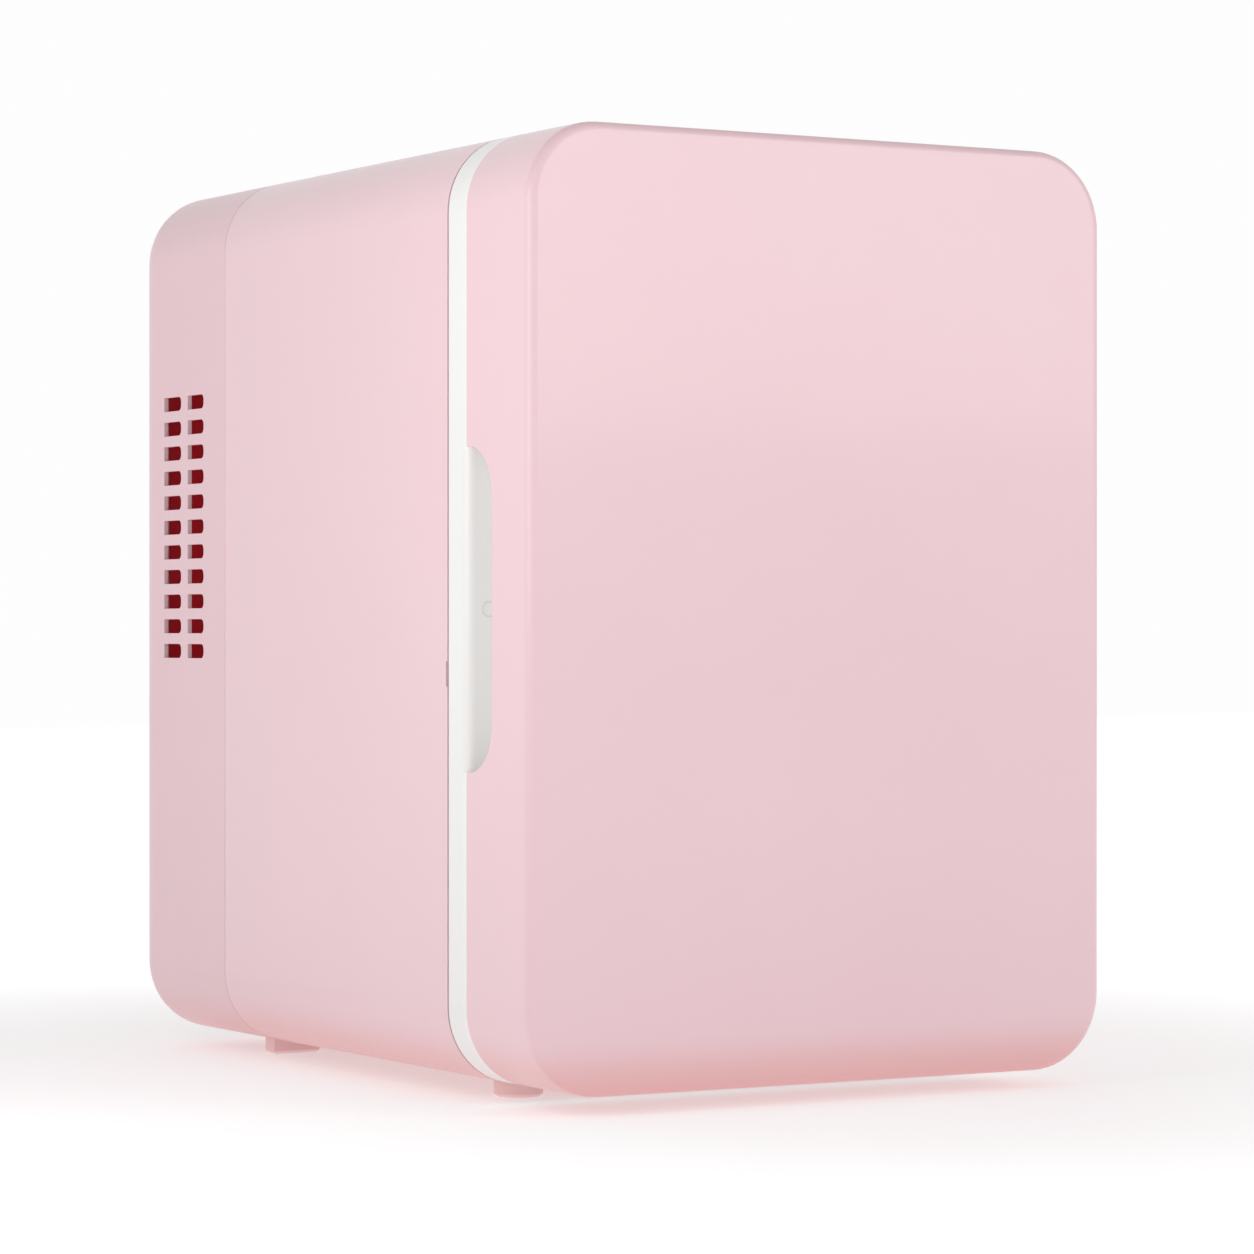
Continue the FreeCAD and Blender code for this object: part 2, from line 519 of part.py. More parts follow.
def bulkhead():
    piece = Piece("rear_bulkhead")
    piece.add("XZ", rounded("inner_width - 2 * fit", "inner_height - 2 * fit", "inner_radius - fit"),
              (0, "middle"), ("bulkhead_front", "bulkhead_back"))
    piece.cut("XZ", rectangle("block_size", "block_size"), (0, "vent_z"), ("bulkhead_front", "bulkhead_back"))
    for a in (-1, 1):
        for b in (-1, 1):
            spot = (f"{a} * boss_across", f"middle + {b} * boss_up")
            piece.add("XZ", disc("nut_boss_diameter"), spot,
                      ("bulkhead_front - nut_boss_depth", "bulkhead_front"))
            piece.cut("XZ", disc("screw_diameter"), spot,
                      ("bulkhead_front - nut_boss_depth", "bulkhead_back"))
            piece.cut("XZ", disc("screw_diameter"),
                      (f"{a} * (sink_width / 2 - sink_screw_inset)",
                       f"vent_z + {b} * (sink_height / 2 - sink_screw_inset)"),
                      ("bulkhead_front", "bulkhead_back"))


def rear_cover():
    piece = Piece("rear_cover")
    piece.add("XZ", rounded("width", "body_height", "corner_radius"), (0, "middle"), ("seam", "back"))
    piece.soften("Fillet", "cover_edge_round", flat_at("y", "back"))
    piece.soften("Chamfer", "seam_bevel", flat_at("y", "seam"))
    piece.cut("XZ", rounded("inner_width", "inner_height", "inner_radius"), (0, "middle"),
              ("seam", "back - cover_edge_round"))
    piece.cut("XZ", rounded("inner_width - 2 * cover_step", "inner_height - 2 * cover_step",
                            "inner_radius - cover_step"), (0, "middle"),
              ("back - cover_edge_round", "cover_face"))
    for a in (-1, 1):
        for b in (-1, 1):
            spot = (f"{a} * boss_across", f"middle + {b} * boss_up")
            piece.add("XZ", disc("boss_diameter"), spot, ("bulkhead_back", "cover_face"))
            piece.cut("XZ", disc("screw_diameter + 2 * fit"), spot, ("bulkhead_back", "back"))
            piece.cut("XZ", disc("boss_bore"), spot, ("bulkhead_back + boss_seat", "back"))
    low = "vent_z - vent_pitch * (vent_rows - 1) / 2"
    for start, length in (("vent_near", "vent_near_length"), ("vent_far", "vent_far_length")):
        vents = piece.cut("YZ", dee(length, "vent_height", "vent_round"), (start, low),
                          ("-side - cut_past", "side + cut_past"))
        piece.repeat(vents, "Z", "vent_pitch", "vent_rows")
    thin = "vent_far + vent_far_length - vent_near + 2 * vent_relief"
    for ends in (("-side + vent_wall", "-side + wall"), ("side - wall", "side - vent_wall")):
        piece.cut("YZ", rectangle(thin, "vent_pitch * vent_rows + 2 * vent_relief", f"({thin}) / 2"),
                  ("vent_near - vent_relief", "vent_z"), ends)
    slots = []
    for column in range(SIZES["grille_columns"]):
        shift = f"({column} - (grille_columns - 1) / 2) * grille_column_pitch"
        slots += rounded("grille_slot_length", "grille_slot_height", "grille_round", shift)
    grille = piece.cut("XZ", slots, (0, "vent_z - grille_pitch * (grille_rows - 1) / 2"),
                       ("cover_face - cut_past", "back + cut_past"))
    piece.repeat(grille, "Z", "grille_pitch", "grille_rows")
    piece.add("XZ", rectangle("panel_width", "panel_height"), (0, "panel_z"), ("panel_face", "cover_face"))
    piece.cut("XZ", rectangle("panel_width - 2 * panel_lap", "panel_height - 2 * panel_lap"), (0, "panel_z"),
              ("panel_face", "back"))


def feet():
    for hand, word in ((-1, "left"), (1, "right")):
        piece = Piece("foot_front_" + word)
        piece.add("XY", disc("front_foot_diameter"), (f"{hand} * foot_across", "front + front_foot_back"),
                  (0, "floor"))
        piece.soften("Chamfer", "foot_chamfer", flat_at("z", "0"))
        piece = Piece("foot_rear_" + word)
        piece.add("XY", rectangle("rear_foot_width", "rear_foot_depth"),
                  (f"{hand} * foot_across", "back - rear_foot_set"), (0, "floor"))
        piece.soften("Chamfer", "foot_chamfer", flat_at("z", "0"))


# ---------------------------------------------------------------- the cooling train
def cooling():
    piece = Piece("cold_plate")
    piece.add("XZ", rounded("cold_plate_width", "cold_plate_height", "cavity_radius"), (0, "vent_z"),
              ("cavity_back - cold_plate_thickness", "cavity_back"))
    piece = Piece("cold_block")
    piece.add("XZ", rectangle("block_size", "block_size"), (0, "vent_z"), ("cavity_back", "bulkhead_back"))
    piece = Piece("peltier_module")
    piece.add("XZ", rectangle("module_size", "module_size"), (0, "vent_z"), ("bulkhead_back", "module_back"))
    piece = Piece("module_gasket")
    piece.add("XZ", rectangle("module_seal_size", "module_seal_size"), (0, "vent_z"),
              ("bulkhead_back", "module_back"))
    piece.cut("XZ", rectangle("module_size + 2 * module_seal_gap", "module_size + 2 * module_seal_gap"),
              (0, "vent_z"),
              ("bulkhead_back", "module_back"))

    piece = Piece("heat_sink")
    piece.add("XZ", rectangle("sink_width", "sink_height"), (0, "vent_z"), ("module_back", "sink_base_back"))
    fin = piece.add("XZ", rectangle("fin_thickness", "sink_height"),
                    ("-fin_pitch * (fin_count - 1) / 2", "vent_z"), ("sink_base_back", "fin_back"))
    piece.repeat(fin, "X", "fin_pitch", "fin_count")
    for a in (-1, 1):
        for b in (-1, 1):
            piece.cut("XZ", disc("screw_diameter + fit"),
                      (f"{a} * (sink_width / 2 - sink_screw_inset)",
                       f"vent_z + {b} * (sink_height / 2 - sink_screw_inset)"),
                      ("module_back", "sink_base_back"))
    four("heat_sink_screws", "sink_width / 2 - sink_screw_inset", "sink_height / 2 - sink_screw_inset",
         "vent_z",
         "sink_base_back", "sink_base_back - bulkhead_front")
    four("cover_screws", "boss_across", "boss_up", "middle", "bulkhead_back + boss_seat",
         "boss_seat + bulkhead_thickness + nut_boss_depth - screw_tip_gap")


def fan():
    piece = Piece("fan_frame")
    piece.add("XZ", rounded("fan_size", "fan_size", "fan_corner"), (0, "vent_z"), ("fan_front", "fan_back"))
    piece.cut("XZ", disc("fan_bore"), (0, "vent_z"), ("fan_front", "fan_back"))
    rear = ("fan_back - fan_mount", "fan_back")
    piece.add("XZ", rectangle("fan_bore + fan_strut / 2", "fan_strut"), (0, "vent_z"), rear)
    piece.add("XZ", rectangle("fan_strut", "fan_bore + fan_strut / 2"), (0, "vent_z"), rear)
    piece.add("XZ", disc("fan_hub"), (0, "vent_z"), rear)
    piece.cut("XZ", disc("fan_shaft + 2 * running_gap"), (0, "vent_z"), rear)
    for a in (-1, 1):
        for b in (-1, 1):
            piece.cut("XZ", disc("screw_diameter + fit"),
                      (f"{a} * fan_hole_spacing / 2", f"vent_z + {b} * fan_hole_spacing / 2"),
                      ("fan_front", "fan_back"))
    four("fan_screws", "fan_hole_spacing / 2", "fan_hole_spacing / 2", "vent_z", "fan_back",
         "fan_depth + fan_screw_reach")

    rotor = Piece("fan_rotor")
    start, end = "fan_front + fan_blade_clearance", "fan_back - fan_mount - fan_blade_clearance"
    rotor.add("XZ", disc("fan_hub"), (0, "vent_z"), (start, end))
    rotor.add("XZ", disc("fan_shaft"), (0, "vent_z"), (end, "fan_back - running_gap"))
    lean = "fan_lean"
    blade = rotor.add("XY", outline((f"-({lean})", "0"), (f"fan_blade_thickness - ({lean})", "0"),
                                    (lean, f"({end}) - ({start})"),
                                    (f"({lean}) - fan_blade_thickness", f"({end}) - ({start})")),
                      (0, start), ("vent_z + fan_hub / 2 - fan_root", "vent_z + fan_bore / 2 - fan_tip_gap"))
    rotor.spin(blade, "fan_blade_count")


# ---------------------------------------------------------------- sockets, switch and board
def control_panel():
    piece = Piece("control_panel")
    piece.add("XZ", rounded("panel_width", "panel_height", "panel_corner"), (0, "panel_z"),
              ("panel_front", "panel_face"))
    piece.cut("XZ", rectangle("mains_width + 2 * fit", "mains_height + 2 * fit"),
              ("-mains_offset", "panel_z"),
              ("panel_front", "panel_face"))
    piece.cut("XZ", disc("dc_body + 2 * fit"), ("-dc_offset", "panel_z"), ("panel_front", "panel_face"))
    piece.cut("XZ", rectangle("switch_width + 2 * fit", "switch_height + 2 * fit"),
              ("switch_offset", "panel_z"),
              ("panel_front", "panel_face"))
    for hand, word in ((-1, "red"), (1, "green")):
        spot = (f"switch_offset - switch_width / 2 - flange_lap - lamp_gap",
                f"panel_z + {hand} * lamp_spacing / 2")
        piece.cut("XZ", disc("lamp_diameter"), spot, ("panel_front", "panel_face"))
        lamp = Piece("lamp_" + word)
        lamp.add("XZ", disc("lamp_diameter"), spot, ("panel_front - lamp_reach", "panel_face + lamp_proud"))
        lamp.soften("Fillet", "lamp_round", flat_at("y", "panel_face + lamp_proud"))

    mains = Piece("mains_inlet")
    mains.add("XZ", rectangle("mains_width", "mains_height"), ("-mains_offset", "panel_z"),
              ("socket_front", "panel_face"))
    mains.add("XZ", rounded("mains_width + 2 * flange_lap", "mains_height + 2 * flange_lap", "flange_corner"),
              ("-mains_offset", "panel_z"), ("panel_face", "socket_face"))
    well = ("socket_face - mains_well", "socket_face")
    for hand in (-1, 1):
        mains.cut("XZ", disc("mains_lobe"), (f"-mains_offset + {hand} * mains_pin_spacing / 2", "panel_z"),
                  well)
    group("mains_pins", [rod("mains_pin_%d" % i, "y", (f"-mains_offset + {hand} * mains_pin_spacing / 2",
                                                       "socket_face - mains_well", "panel_z"),
                             "mains_pin_diameter", "mains_well - pin_short") for i,
                         hand in enumerate((-1, 1))])

    jack = Piece("dc_inlet")
    jack.add("XZ", disc("dc_body"), ("-dc_offset", "panel_z"), ("socket_front", "panel_face"))
    jack.add("XZ", disc("dc_body + 2 * flange_lap"), ("-dc_offset", "panel_z"), ("panel_face", "socket_face"))
    jack.cut("XZ", disc("dc_bore"), ("-dc_offset", "panel_z"), well)
    keep(rod("dc_pin_rod", "y", ("-dc_offset", "socket_face - mains_well", "panel_z"), "dc_pin_diameter",
             "mains_well - pin_short"), "dc_pin")

    housing = Piece("switch_housing")
    housing.add("XZ", rectangle("switch_width", "switch_height"), ("switch_offset", "panel_z"),
                ("socket_front", "panel_face"))
    housing.add("XZ",
                rounded("switch_width + 2 * flange_lap", "switch_height + 2 * flange_lap", "flange_corner"),
                ("switch_offset", "panel_z"), ("panel_face", "socket_face"))
    opening = ("rocker_length + 4 * running_gap", "rocker_width + 2 * running_gap")
    housing.cut("XZ", rectangle(*opening), ("switch_offset", "panel_z"),
                ("socket_face - rocker_deep * 3", "socket_face"))
    axle = ("switch_offset", "socket_face - rocker_deep")
    housing.cut("XY", disc("rocker_axle + 2 * running_gap"), axle,
                ("panel_z - rocker_width / 2 - trunnion - trunnion_play",
                 "panel_z + rocker_width / 2 + trunnion + trunnion_play"))

    rocker = Piece("switch_rocker")
    half = "rocker_length / 2"
    rocker.add("XY",
          outline((f"-({half}) * rocker_taper", "-rocker_deep"), (f"({half}) * rocker_taper", "-rocker_deep"),
                  (half, "rocker_shoulder"), (half, "rocker_deep + rocker_proud"),
                  ("0", "rocker_deep + rocker_dip"), (f"-({half})", "rocker_deep + rocker_proud"),
                  (f"-({half})", "rocker_shoulder")),
               axle, ("panel_z - rocker_width / 2", "panel_z + rocker_width / 2"))
    rocker.add("XY", disc("rocker_axle"), axle,
               ("panel_z - rocker_width / 2 - trunnion", "panel_z + rocker_width / 2 + trunnion"))


def power_board():
    piece = Piece("power_board")
    piece.add("XZ", rectangle("board_width", "board_height"), (0, "board_z"), ("board_front", "board_back"))
    spots = [(f"{a} * (board_width / 2 - spacer_diameter)",
              f"board_z + {b} * (board_height / 2 - spacer_diameter)")
             for a in (-1, 1) for b in (-1, 1)]
    group("board_spacers",
          [rod("board_spacer_%d" % i, "y", (x, "bulkhead_back", z), "spacer_diameter", "board_gap")
           for i, (x, z) in enumerate(spots)])
    for x, z in spots:
        piece.cut("XZ", disc("screw_diameter"), (x, z), ("board_front", "board_back"))
    group("board_screws", [screw("board_screw_%d" % i, (x, "board_back", z), "board_thickness")
                           for i, (x, z) in enumerate(spots)])
    coil = Piece("transformer")
    coil.add("XZ", rectangle("transformer_width", "transformer_height"), ("-transformer_offset", "board_z"),
             ("board_back", "board_back + transformer_depth"))
    coil.soften("Fillet", "transformer_round", flat_at("y", "board_back + transformer_depth"))
    group("capacitors", [
        rod("capacitor_%d" % i, "y",
            ("capacitor_offset + %d * (capacitor_diameter + capacitor_gap)" % i, "board_back",
             "board_z - capacitor_drop"),
            "capacitor_diameter", "capacitor_length") for i in range(2)])


def lead(label, points):
    """An insulated lead held inside the rear cover: straight runs joined by tangent arcs."""
    spots = [FreeCAD.Vector(*[value(text) for text in point]) for point in points]
    edges, start = [], spots[0]
    for before, corner, after in zip(spots, spots[1:], spots[2:]):
        inward, outward = corner - before, after - corner
        turn = inward.getAngle(outward)
        trim = value("lead_bend") * min(inward.Length, outward.Length)
        first = corner - inward.normalize() * trim
        last = corner + outward.normalize() * trim
        radius = trim / math.tan(turn / 2)
        bisector = (outward - inward).normalize()
        centre = corner + bisector * (radius / math.cos(turn / 2))
        crown = centre - bisector * radius
        edges += [Part.LineSegment(start, first).toShape(), Part.Arc(first, crown, last).toShape()]
        start = last
    edges.append(Part.LineSegment(start, spots[-1]).toShape())
    path = Part.Wire(edges)
    circle = Part.Circle(spots[0], spots[1] - spots[0], value("lead_diameter") / 2)
    item = doc.addObject("Part::Feature", label)
    item.Shape = path.makePipeShell([Part.Wire(circle.toShape())], True, False)
    keep(item, label)


def leads():
    beside = "bulkhead_back + lead_diameter / 2"
    over_board = "board_back + module_lead_hover"
    module_land = "board_z + module_lead_rise"
    lead("module_lead", (("module_lead_across", beside, "vent_z - module_seal_size / 2"),
                         ("module_lead_across", beside, "vent_z - sink_height / 2 - module_lead_dip"),
                         ("module_lead_end", over_board, "board_z + board_height / 2 + module_lead_over"),
                         ("module_lead_end", over_board, module_land),
                         ("module_lead_end", "board_back", module_land)))
    fan_land = ("board_width / 2 - fan_lead_land", "board_z + fan_lead_land")
    lead("fan_lead", (("fan_size / 2 + fan_lead_start", "fan_back - fan_lead_inset",
                       "vent_z - fan_lead_drop"),
                      ("fan_size / 2 + fan_lead_out", "fan_back - fan_lead_inset - fan_lead_ease",
                       "vent_z - fan_lead_drop - fan_lead_fall"),
                      ("fan_size / 2 + fan_lead_bow", "fan_back - fan_lead_bow_inset",
                       "vent_z - fan_lead_bow_drop"),
                      (fan_land[0], "board_back + fan_lead_land", fan_land[1]),
                      (fan_land[0], "board_back", fan_land[1])))
    mains_land = ("-mains_offset - mains_lead_shift", "board_z - board_height / 4 + mains_lead_rise")
    lead("mains_lead", (("-mains_offset", "socket_front", "panel_z"),
                        ("-mains_offset", "socket_front - mains_lead_run", "panel_z"),
                        (mains_land[0], "board_back + mains_lead_hover", mains_land[1]),
                        (mains_land[0], "board_back", mains_land[1])))


# ---------------------------------------------------------------- the door
def hinge_levels():
    return [(word, f"middle + {end} * (body_height / 2 - lug_from_end)") for end,
            word in ((-1, "lower"), (1, "upper"))]


def door_cap():
    piece = Piece("door_cap")
    piece.add("XZ", rounded("width", "body_height", "corner_radius"), (0, "middle"), ("front", "cap_back"))
    piece.soften("Fillet", "cap_edge_round", flat_at("y", "front"))
    piece.cut("XZ", rounded("inner_width", "inner_height", "inner_radius"), (0, "middle"),
              ("front + wall", "cap_back"))
    piece.cut("YZ", dee("cap_back - grip_y", "grip_height", "grip_radius"), ("grip_y", "middle"),
              ("-side", "-side + wall"))
    for word, z in hinge_levels():
        piece.cut("YZ", rectangle("cap_back - notch_front", "2 * notch_half", "(cap_back - notch_front) / 2"),
                  ("notch_front", z), ("side - wall", "side"))


def door_liner():
    piece = Piece("door_liner")
    piece.add("XZ", rounded("width", "body_height", "corner_radius"), (0, "middle"), ("cap_back", "rim_back"))
    piece.cut("XZ", rounded("width - 2 * rim_band", "body_height - 2 * rim_band", "corner_radius / 2"),
              (0, "middle"),
              ("cap_back", "rim_back - liner_skin"))
    piece.cut("XZ", rounded("gasket_width_out", "gasket_height_out", "corner_radius - gasket_inset"),
              (0, "middle"),
              ("rim_back - gasket_groove", "rim_back"))
    piece.add("XZ", rounded("gasket_width_out - 2 * gasket_width", "gasket_height_out - 2 * gasket_width",
                            "corner_radius - gasket_inset - gasket_width"), (0, "middle"),
              ("rim_back - liner_skin", "rim_back"))
    plug = "- 2 * plug_margin"
    piece.add("XZ", rounded("cavity_width " + plug, "cavity_height " + plug, "cavity_radius"), (0, "middle"),
              ("rim_back", "plug_back"))
    hollow = "- 2 * plug_margin - 2 * liner_skin"
    piece.cut("XZ",
              rounded("cavity_width " + hollow, "cavity_height " + hollow, "cavity_radius - liner_skin"),
              (0, "middle"), ("rim_back - liner_skin", "plug_back - liner_skin"))
    cup = "cup_floor + cup_wall"
    piece.add("YZ",
              dee("cap_back - grip_y + cup_wall", "grip_height + 2 * cup_wall", "grip_radius + cup_wall"),
              ("grip_y - cup_wall", "middle"), ("cup_left", cup))
    piece.cut("YZ", dee("cap_back - grip_y", "grip_height", "grip_radius"), ("grip_y", "middle"),
              ("cup_left", "cup_floor"))
    piece.soften("Fillet", "grip_round",
                 both(runs_along("Z"), flat_at("x", "cup_floor"), flat_at("y", "grip_y")))
    piece.cut("XY", corner_round("strip_round"), ("-side", "cap_back"),
              ("middle - grip_height / 2", "middle + grip_height / 2"))
    box_left = "notch_left - hinge_box_wall"
    for word, z in hinge_levels():
        piece.add("XZ", rectangle(f"side - wall - fit - ({box_left})", "2 * notch_half + 2 * hinge_box_wall",
                                  f"(side - wall - fit + {box_left}) / 2"), (0, z),
                  ("notch_front - hinge_box_wall", "cap_back"))
        piece.cut("XZ",
        rectangle("side + cut_past - notch_left", "2 * notch_half", "(side + cut_past + notch_left) / 2"),
                  (0, z),
                  ("notch_front", "rim_back"))
        reach = "lug_height / 2 + hinge_pin_bite + running_gap"
        piece.cut("XY", disc("hinge_pin_diameter + 2 * bore_play"), ("hinge_x", "hinge_y"),
                  (f"{z} - ({reach})", f"{z} + {reach}"))
    piece.cut("XY",
        outline(("side - hinge_relief", "rim_back + cut_slip"),
                ("side + cut_slip", "rim_back - hinge_relief"),
                            ("side + cut_slip", "rim_back + cut_slip")), (0, 0), ("floor", "top"))
    piece.cut("XZ", rectangle("magnet_width + 2 * fit", "magnet_height + 2 * fit"), ("strike_x", "middle"),
              ("rim_back - gasket_groove - magnet_thickness - magnet_skin",
               "rim_back - gasket_groove - magnet_skin"))
    for hand in (-1, 1):
        spot = f"{hand} * hook_spacing / 2"
        z = "basket_floor + basket_height - bracket_height - bracket_drop"
        piece.add("XZ",
           rectangle("hook_width + 2 * bracket_margin", "bracket_height", 0, "bracket_height / 2"), (spot, z),
                  ("plug_back", "basket_back - running_gap"))
        piece.cut("XZ",
              rectangle("hook_width + 2 * running_gap", "bracket_height", 0, "bracket_height / 2"), (spot, z),
                  ("plug_back", "plug_back + hook_thickness + 2 * running_gap"))


def door_inside():
    foam = Piece("door_foam")
    foam.add("XZ", rounded("inner_width - 2 * fit", "inner_height - 2 * fit", "inner_radius - fit"),
             (0, "middle"),
             ("front + wall", "cap_back"))
    foam.add("XZ", rounded("width - 2 * rim_band - 2 * fit", "body_height - 2 * rim_band - 2 * fit",
                           "corner_radius / 2 - fit"), (0, "middle"), ("cap_back", "rim_back - liner_skin"))
    hollow = "- 2 * plug_margin - 2 * liner_skin - 2 * fit"
    foam.add("XZ",
             rounded("cavity_width " + hollow, "cavity_height " + hollow, "cavity_radius - liner_skin - fit"),
             (0, "middle"), ("rim_back - liner_skin", "plug_back - liner_skin"))
    foam.cut("YZ", rectangle("cap_back - grip_y + 2 * cup_wall", "grip_height + 4 * cup_wall",
                             "(cap_back - grip_y) / 2 - cup_wall"), ("grip_y", "middle"),
             ("-side", "cup_floor + 2 * cup_wall"))
    room = "hinge_box_wall + 2 * fit"
    for word, z in hinge_levels():
        foam.cut("XZ",
        rectangle(f"side - notch_left + {room}", f"2 * notch_half + 2 * ({room})",
                  f"(side + notch_left - ({room})) / 2"),
                 (0, z), (f"notch_front - ({room})", "cap_back"))
    gasket = Piece("door_gasket")
    face = ("rim_back - gasket_groove", "shell_front - gasket_squeeze_gap")
    gasket.add("XZ", rounded("gasket_width_out - 2 * fit", "gasket_height_out - 2 * fit",
                             "corner_radius - gasket_inset - fit"), (0, "middle"), face)
    gasket.cut("XZ", rounded("gasket_width_out - 2 * gasket_width + 2 * fit",
                             "gasket_height_out - 2 * gasket_width + 2 * fit",
                             "corner_radius - gasket_inset - gasket_width + fit"), (0, "middle"), face)
    magnet = Piece("door_magnet")
    magnet.add("XZ", rectangle("magnet_width", "magnet_height"), ("strike_x", "middle"),
               ("rim_back - gasket_groove - magnet_thickness - magnet_skin",
                "rim_back - gasket_groove - magnet_skin"))
    strike = Piece("strike_plate")
    strike.add("XZ", rectangle("magnet_width", "magnet_height"), ("strike_x", "middle"),
               ("shell_front", "shell_front + strike_thickness"))
    for word, z in hinge_levels():
        start = f"{z} - lug_height / 2 - hinge_pin_bite"
        keep(rod("pin_rod_" + word, "z", ("hinge_x", "hinge_y", start), "hinge_pin_diameter",
                 "lug_height + 2 * hinge_pin_bite"), "hinge_pin_" + word)


def shelf_and_basket():
    shelf = Piece("shelf")
    span = ("shelf_z", "shelf_z + shelf_thickness")
    wide = "cavity_width - 2 * running_gap"
    shelf.add("XY", rectangle(wide, "shelf_back - shelf_front", 0, "(shelf_back - shelf_front) / 2"),
              (0, "shelf_front"), span)
    deep = "shelf_back - shelf_front - 2 * shelf_margin"
    slot = shelf.cut("XY", rectangle("shelf_slot_width", deep, 0, f"({deep}) / 2"),
                     ("-shelf_slot_pitch * (shelf_slot_count - 1) / 2", "shelf_front + shelf_margin"), span)
    shelf.repeat(slot, "X", "shelf_slot_pitch", "shelf_slot_count")
    shelf.add("XZ", rectangle("cavity_width - 4 * rib_reach", "shelf_lip", 0, "shelf_lip / 2"),
              (0, "shelf_z"), ("shelf_front", "shelf_front + shelf_thickness"))

    basket = Piece("door_basket")
    high = ("basket_floor", "basket_floor + basket_height")
    mid = "basket_reach / 2"
    basket.add("XY", rectangle("basket_width", "basket_reach", 0, mid), (0, "basket_back"), high)
    basket.soften("Fillet", "basket_round", both(runs_along("Z"), flat_at("y", "basket_back + basket_reach")))
    basket.cut("XY", rectangle("basket_width - 2 * basket_wall", "basket_reach - 2 * basket_wall", 0, mid),
               (0, "basket_back"), ("basket_floor + basket_wall", "basket_floor + basket_height"))
    window = basket.cut("XZ", rectangle("window_width", "window_height"),
                        ("-window_pitch * (window_count - 1) / 2", "basket_floor + window_height"),
                        ("basket_back + basket_reach - basket_wall", "basket_back + basket_reach"))
    basket.repeat(window, "X", "window_pitch", "window_count")
    for hand in (-1, 1):
        spot = f"{hand} * hook_spacing / 2"
        tip = "plug_back + running_gap"
        basket.add("XZ", rectangle("hook_width", "hook_thickness * 1.5", 0, "hook_thickness * 0.75"),
                   (spot, "basket_floor + basket_height - hook_thickness * 0.5"),
                   (tip, "basket_back + basket_wall"))
        basket.add("XZ", rectangle("hook_width", "hook_drop", 0, "hook_drop / 2"),
                   (spot, "basket_floor + basket_height - hook_drop"), (tip, tip + " + hook_thickness"))


# ---------------------------------------------------------------- the carrying handle
def carrying_handle():
    well = Piece("handle_well")
    well.add("XY", rectangle("well_length", "well_width"), (0, 0), ("top - well_depth", "top"))
    well.cut("XY", rectangle("well_length - 2 * well_wall", "well_width - 2 * well_wall"), (0, 0),
             ("well_floor", "top"))
    well.cut("YZ", disc("handle_pin"), ("pivot_y", "pivot_z"), ("-well_length / 2", "well_length / 2"))

    handle = Piece("carry_handle")
    span = ("pivot_z - handle_thickness / 2", "pivot_z + handle_thickness / 2")
    handle.add("XY", rectangle("2 * handle_half", "handle_reach + handle_bar / 2", 0,
                               "-(handle_reach + handle_bar / 2) / 2"), (0, "pivot_y"), span)
    handle.soften("Fillet", "handle_round",
                  both(runs_along("Z"), flat_at("y", "pivot_y - handle_reach - handle_bar / 2")))
    handle.cut("XY",
               rectangle("2 * handle_half - 2 * handle_bar", "handle_reach - handle_bar / 2 + handle_open", 0,
                               "-(handle_reach - handle_bar / 2) / 2 + handle_open / 2"), (0, "pivot_y"),
               span)
    for hand in (-1, 1):
        ends = sorted((f"{hand} * handle_half", f"{hand} * (handle_half - handle_bar)"), key=value)
        handle.add("YZ", disc("handle_thickness"), ("pivot_y", "pivot_z"), ends)
        handle.cut("YZ", disc("handle_pin + 2 * bore_play"), ("pivot_y", "pivot_z"), ends)
    for word, start in (("left", "-well_length / 2"), ("right", "handle_half - handle_bar")):
        keep(rod("handle_rod_" + word, "x", (start, "pivot_y", "pivot_z"), "handle_pin",
                 "well_length / 2 - handle_half + handle_bar"), "handle_pin_" + word)


# ---------------------------------------------------------------- build, test and write
for make in (outer_shell, front_frame, inner_liner, cabinet_foam, bulkhead, rear_cover, feet, cooling, fan,
             control_panel, power_board, leads, door_cap, door_liner, door_inside, shelf_and_basket,
             carrying_handle):
    make()
doc.recompute()

faults = [item.Name for item in doc.Objects if "Invalid" in item.State or "Error" in item.State]
faults += [item.Label for item in pieces if item.Shape.isNull() or not item.Shape.isValid()]
if faults:
    raise RuntimeError("failed objects: " + ", ".join(faults))

os.makedirs("parts", exist_ok=True)
for item in pieces:
    item.Shape.exportStep("parts/%s.step" % item.Label)
    print("%-18s %2d solid(s) %10.1f mm3" % (item.Label, len(item.Shape.Solids), item.Shape.Volume))
print(len(pieces), "pieces")
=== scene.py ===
"""Looks of a small thermoelectric fridge, dressed and detailed round its fixed frame.

Every length is in metres, +Z is up and the door faces -Y.  Pieces of the frame keep their shape and get a
finish; pieces that need a finer shape are modelled here and stand for their frame node.
"""

import logging
import math
from dataclasses import dataclass, field
from enum import Enum
from typing import Iterable, Sequence

import bmesh
import bpy
from mathutils import Matrix, Vector

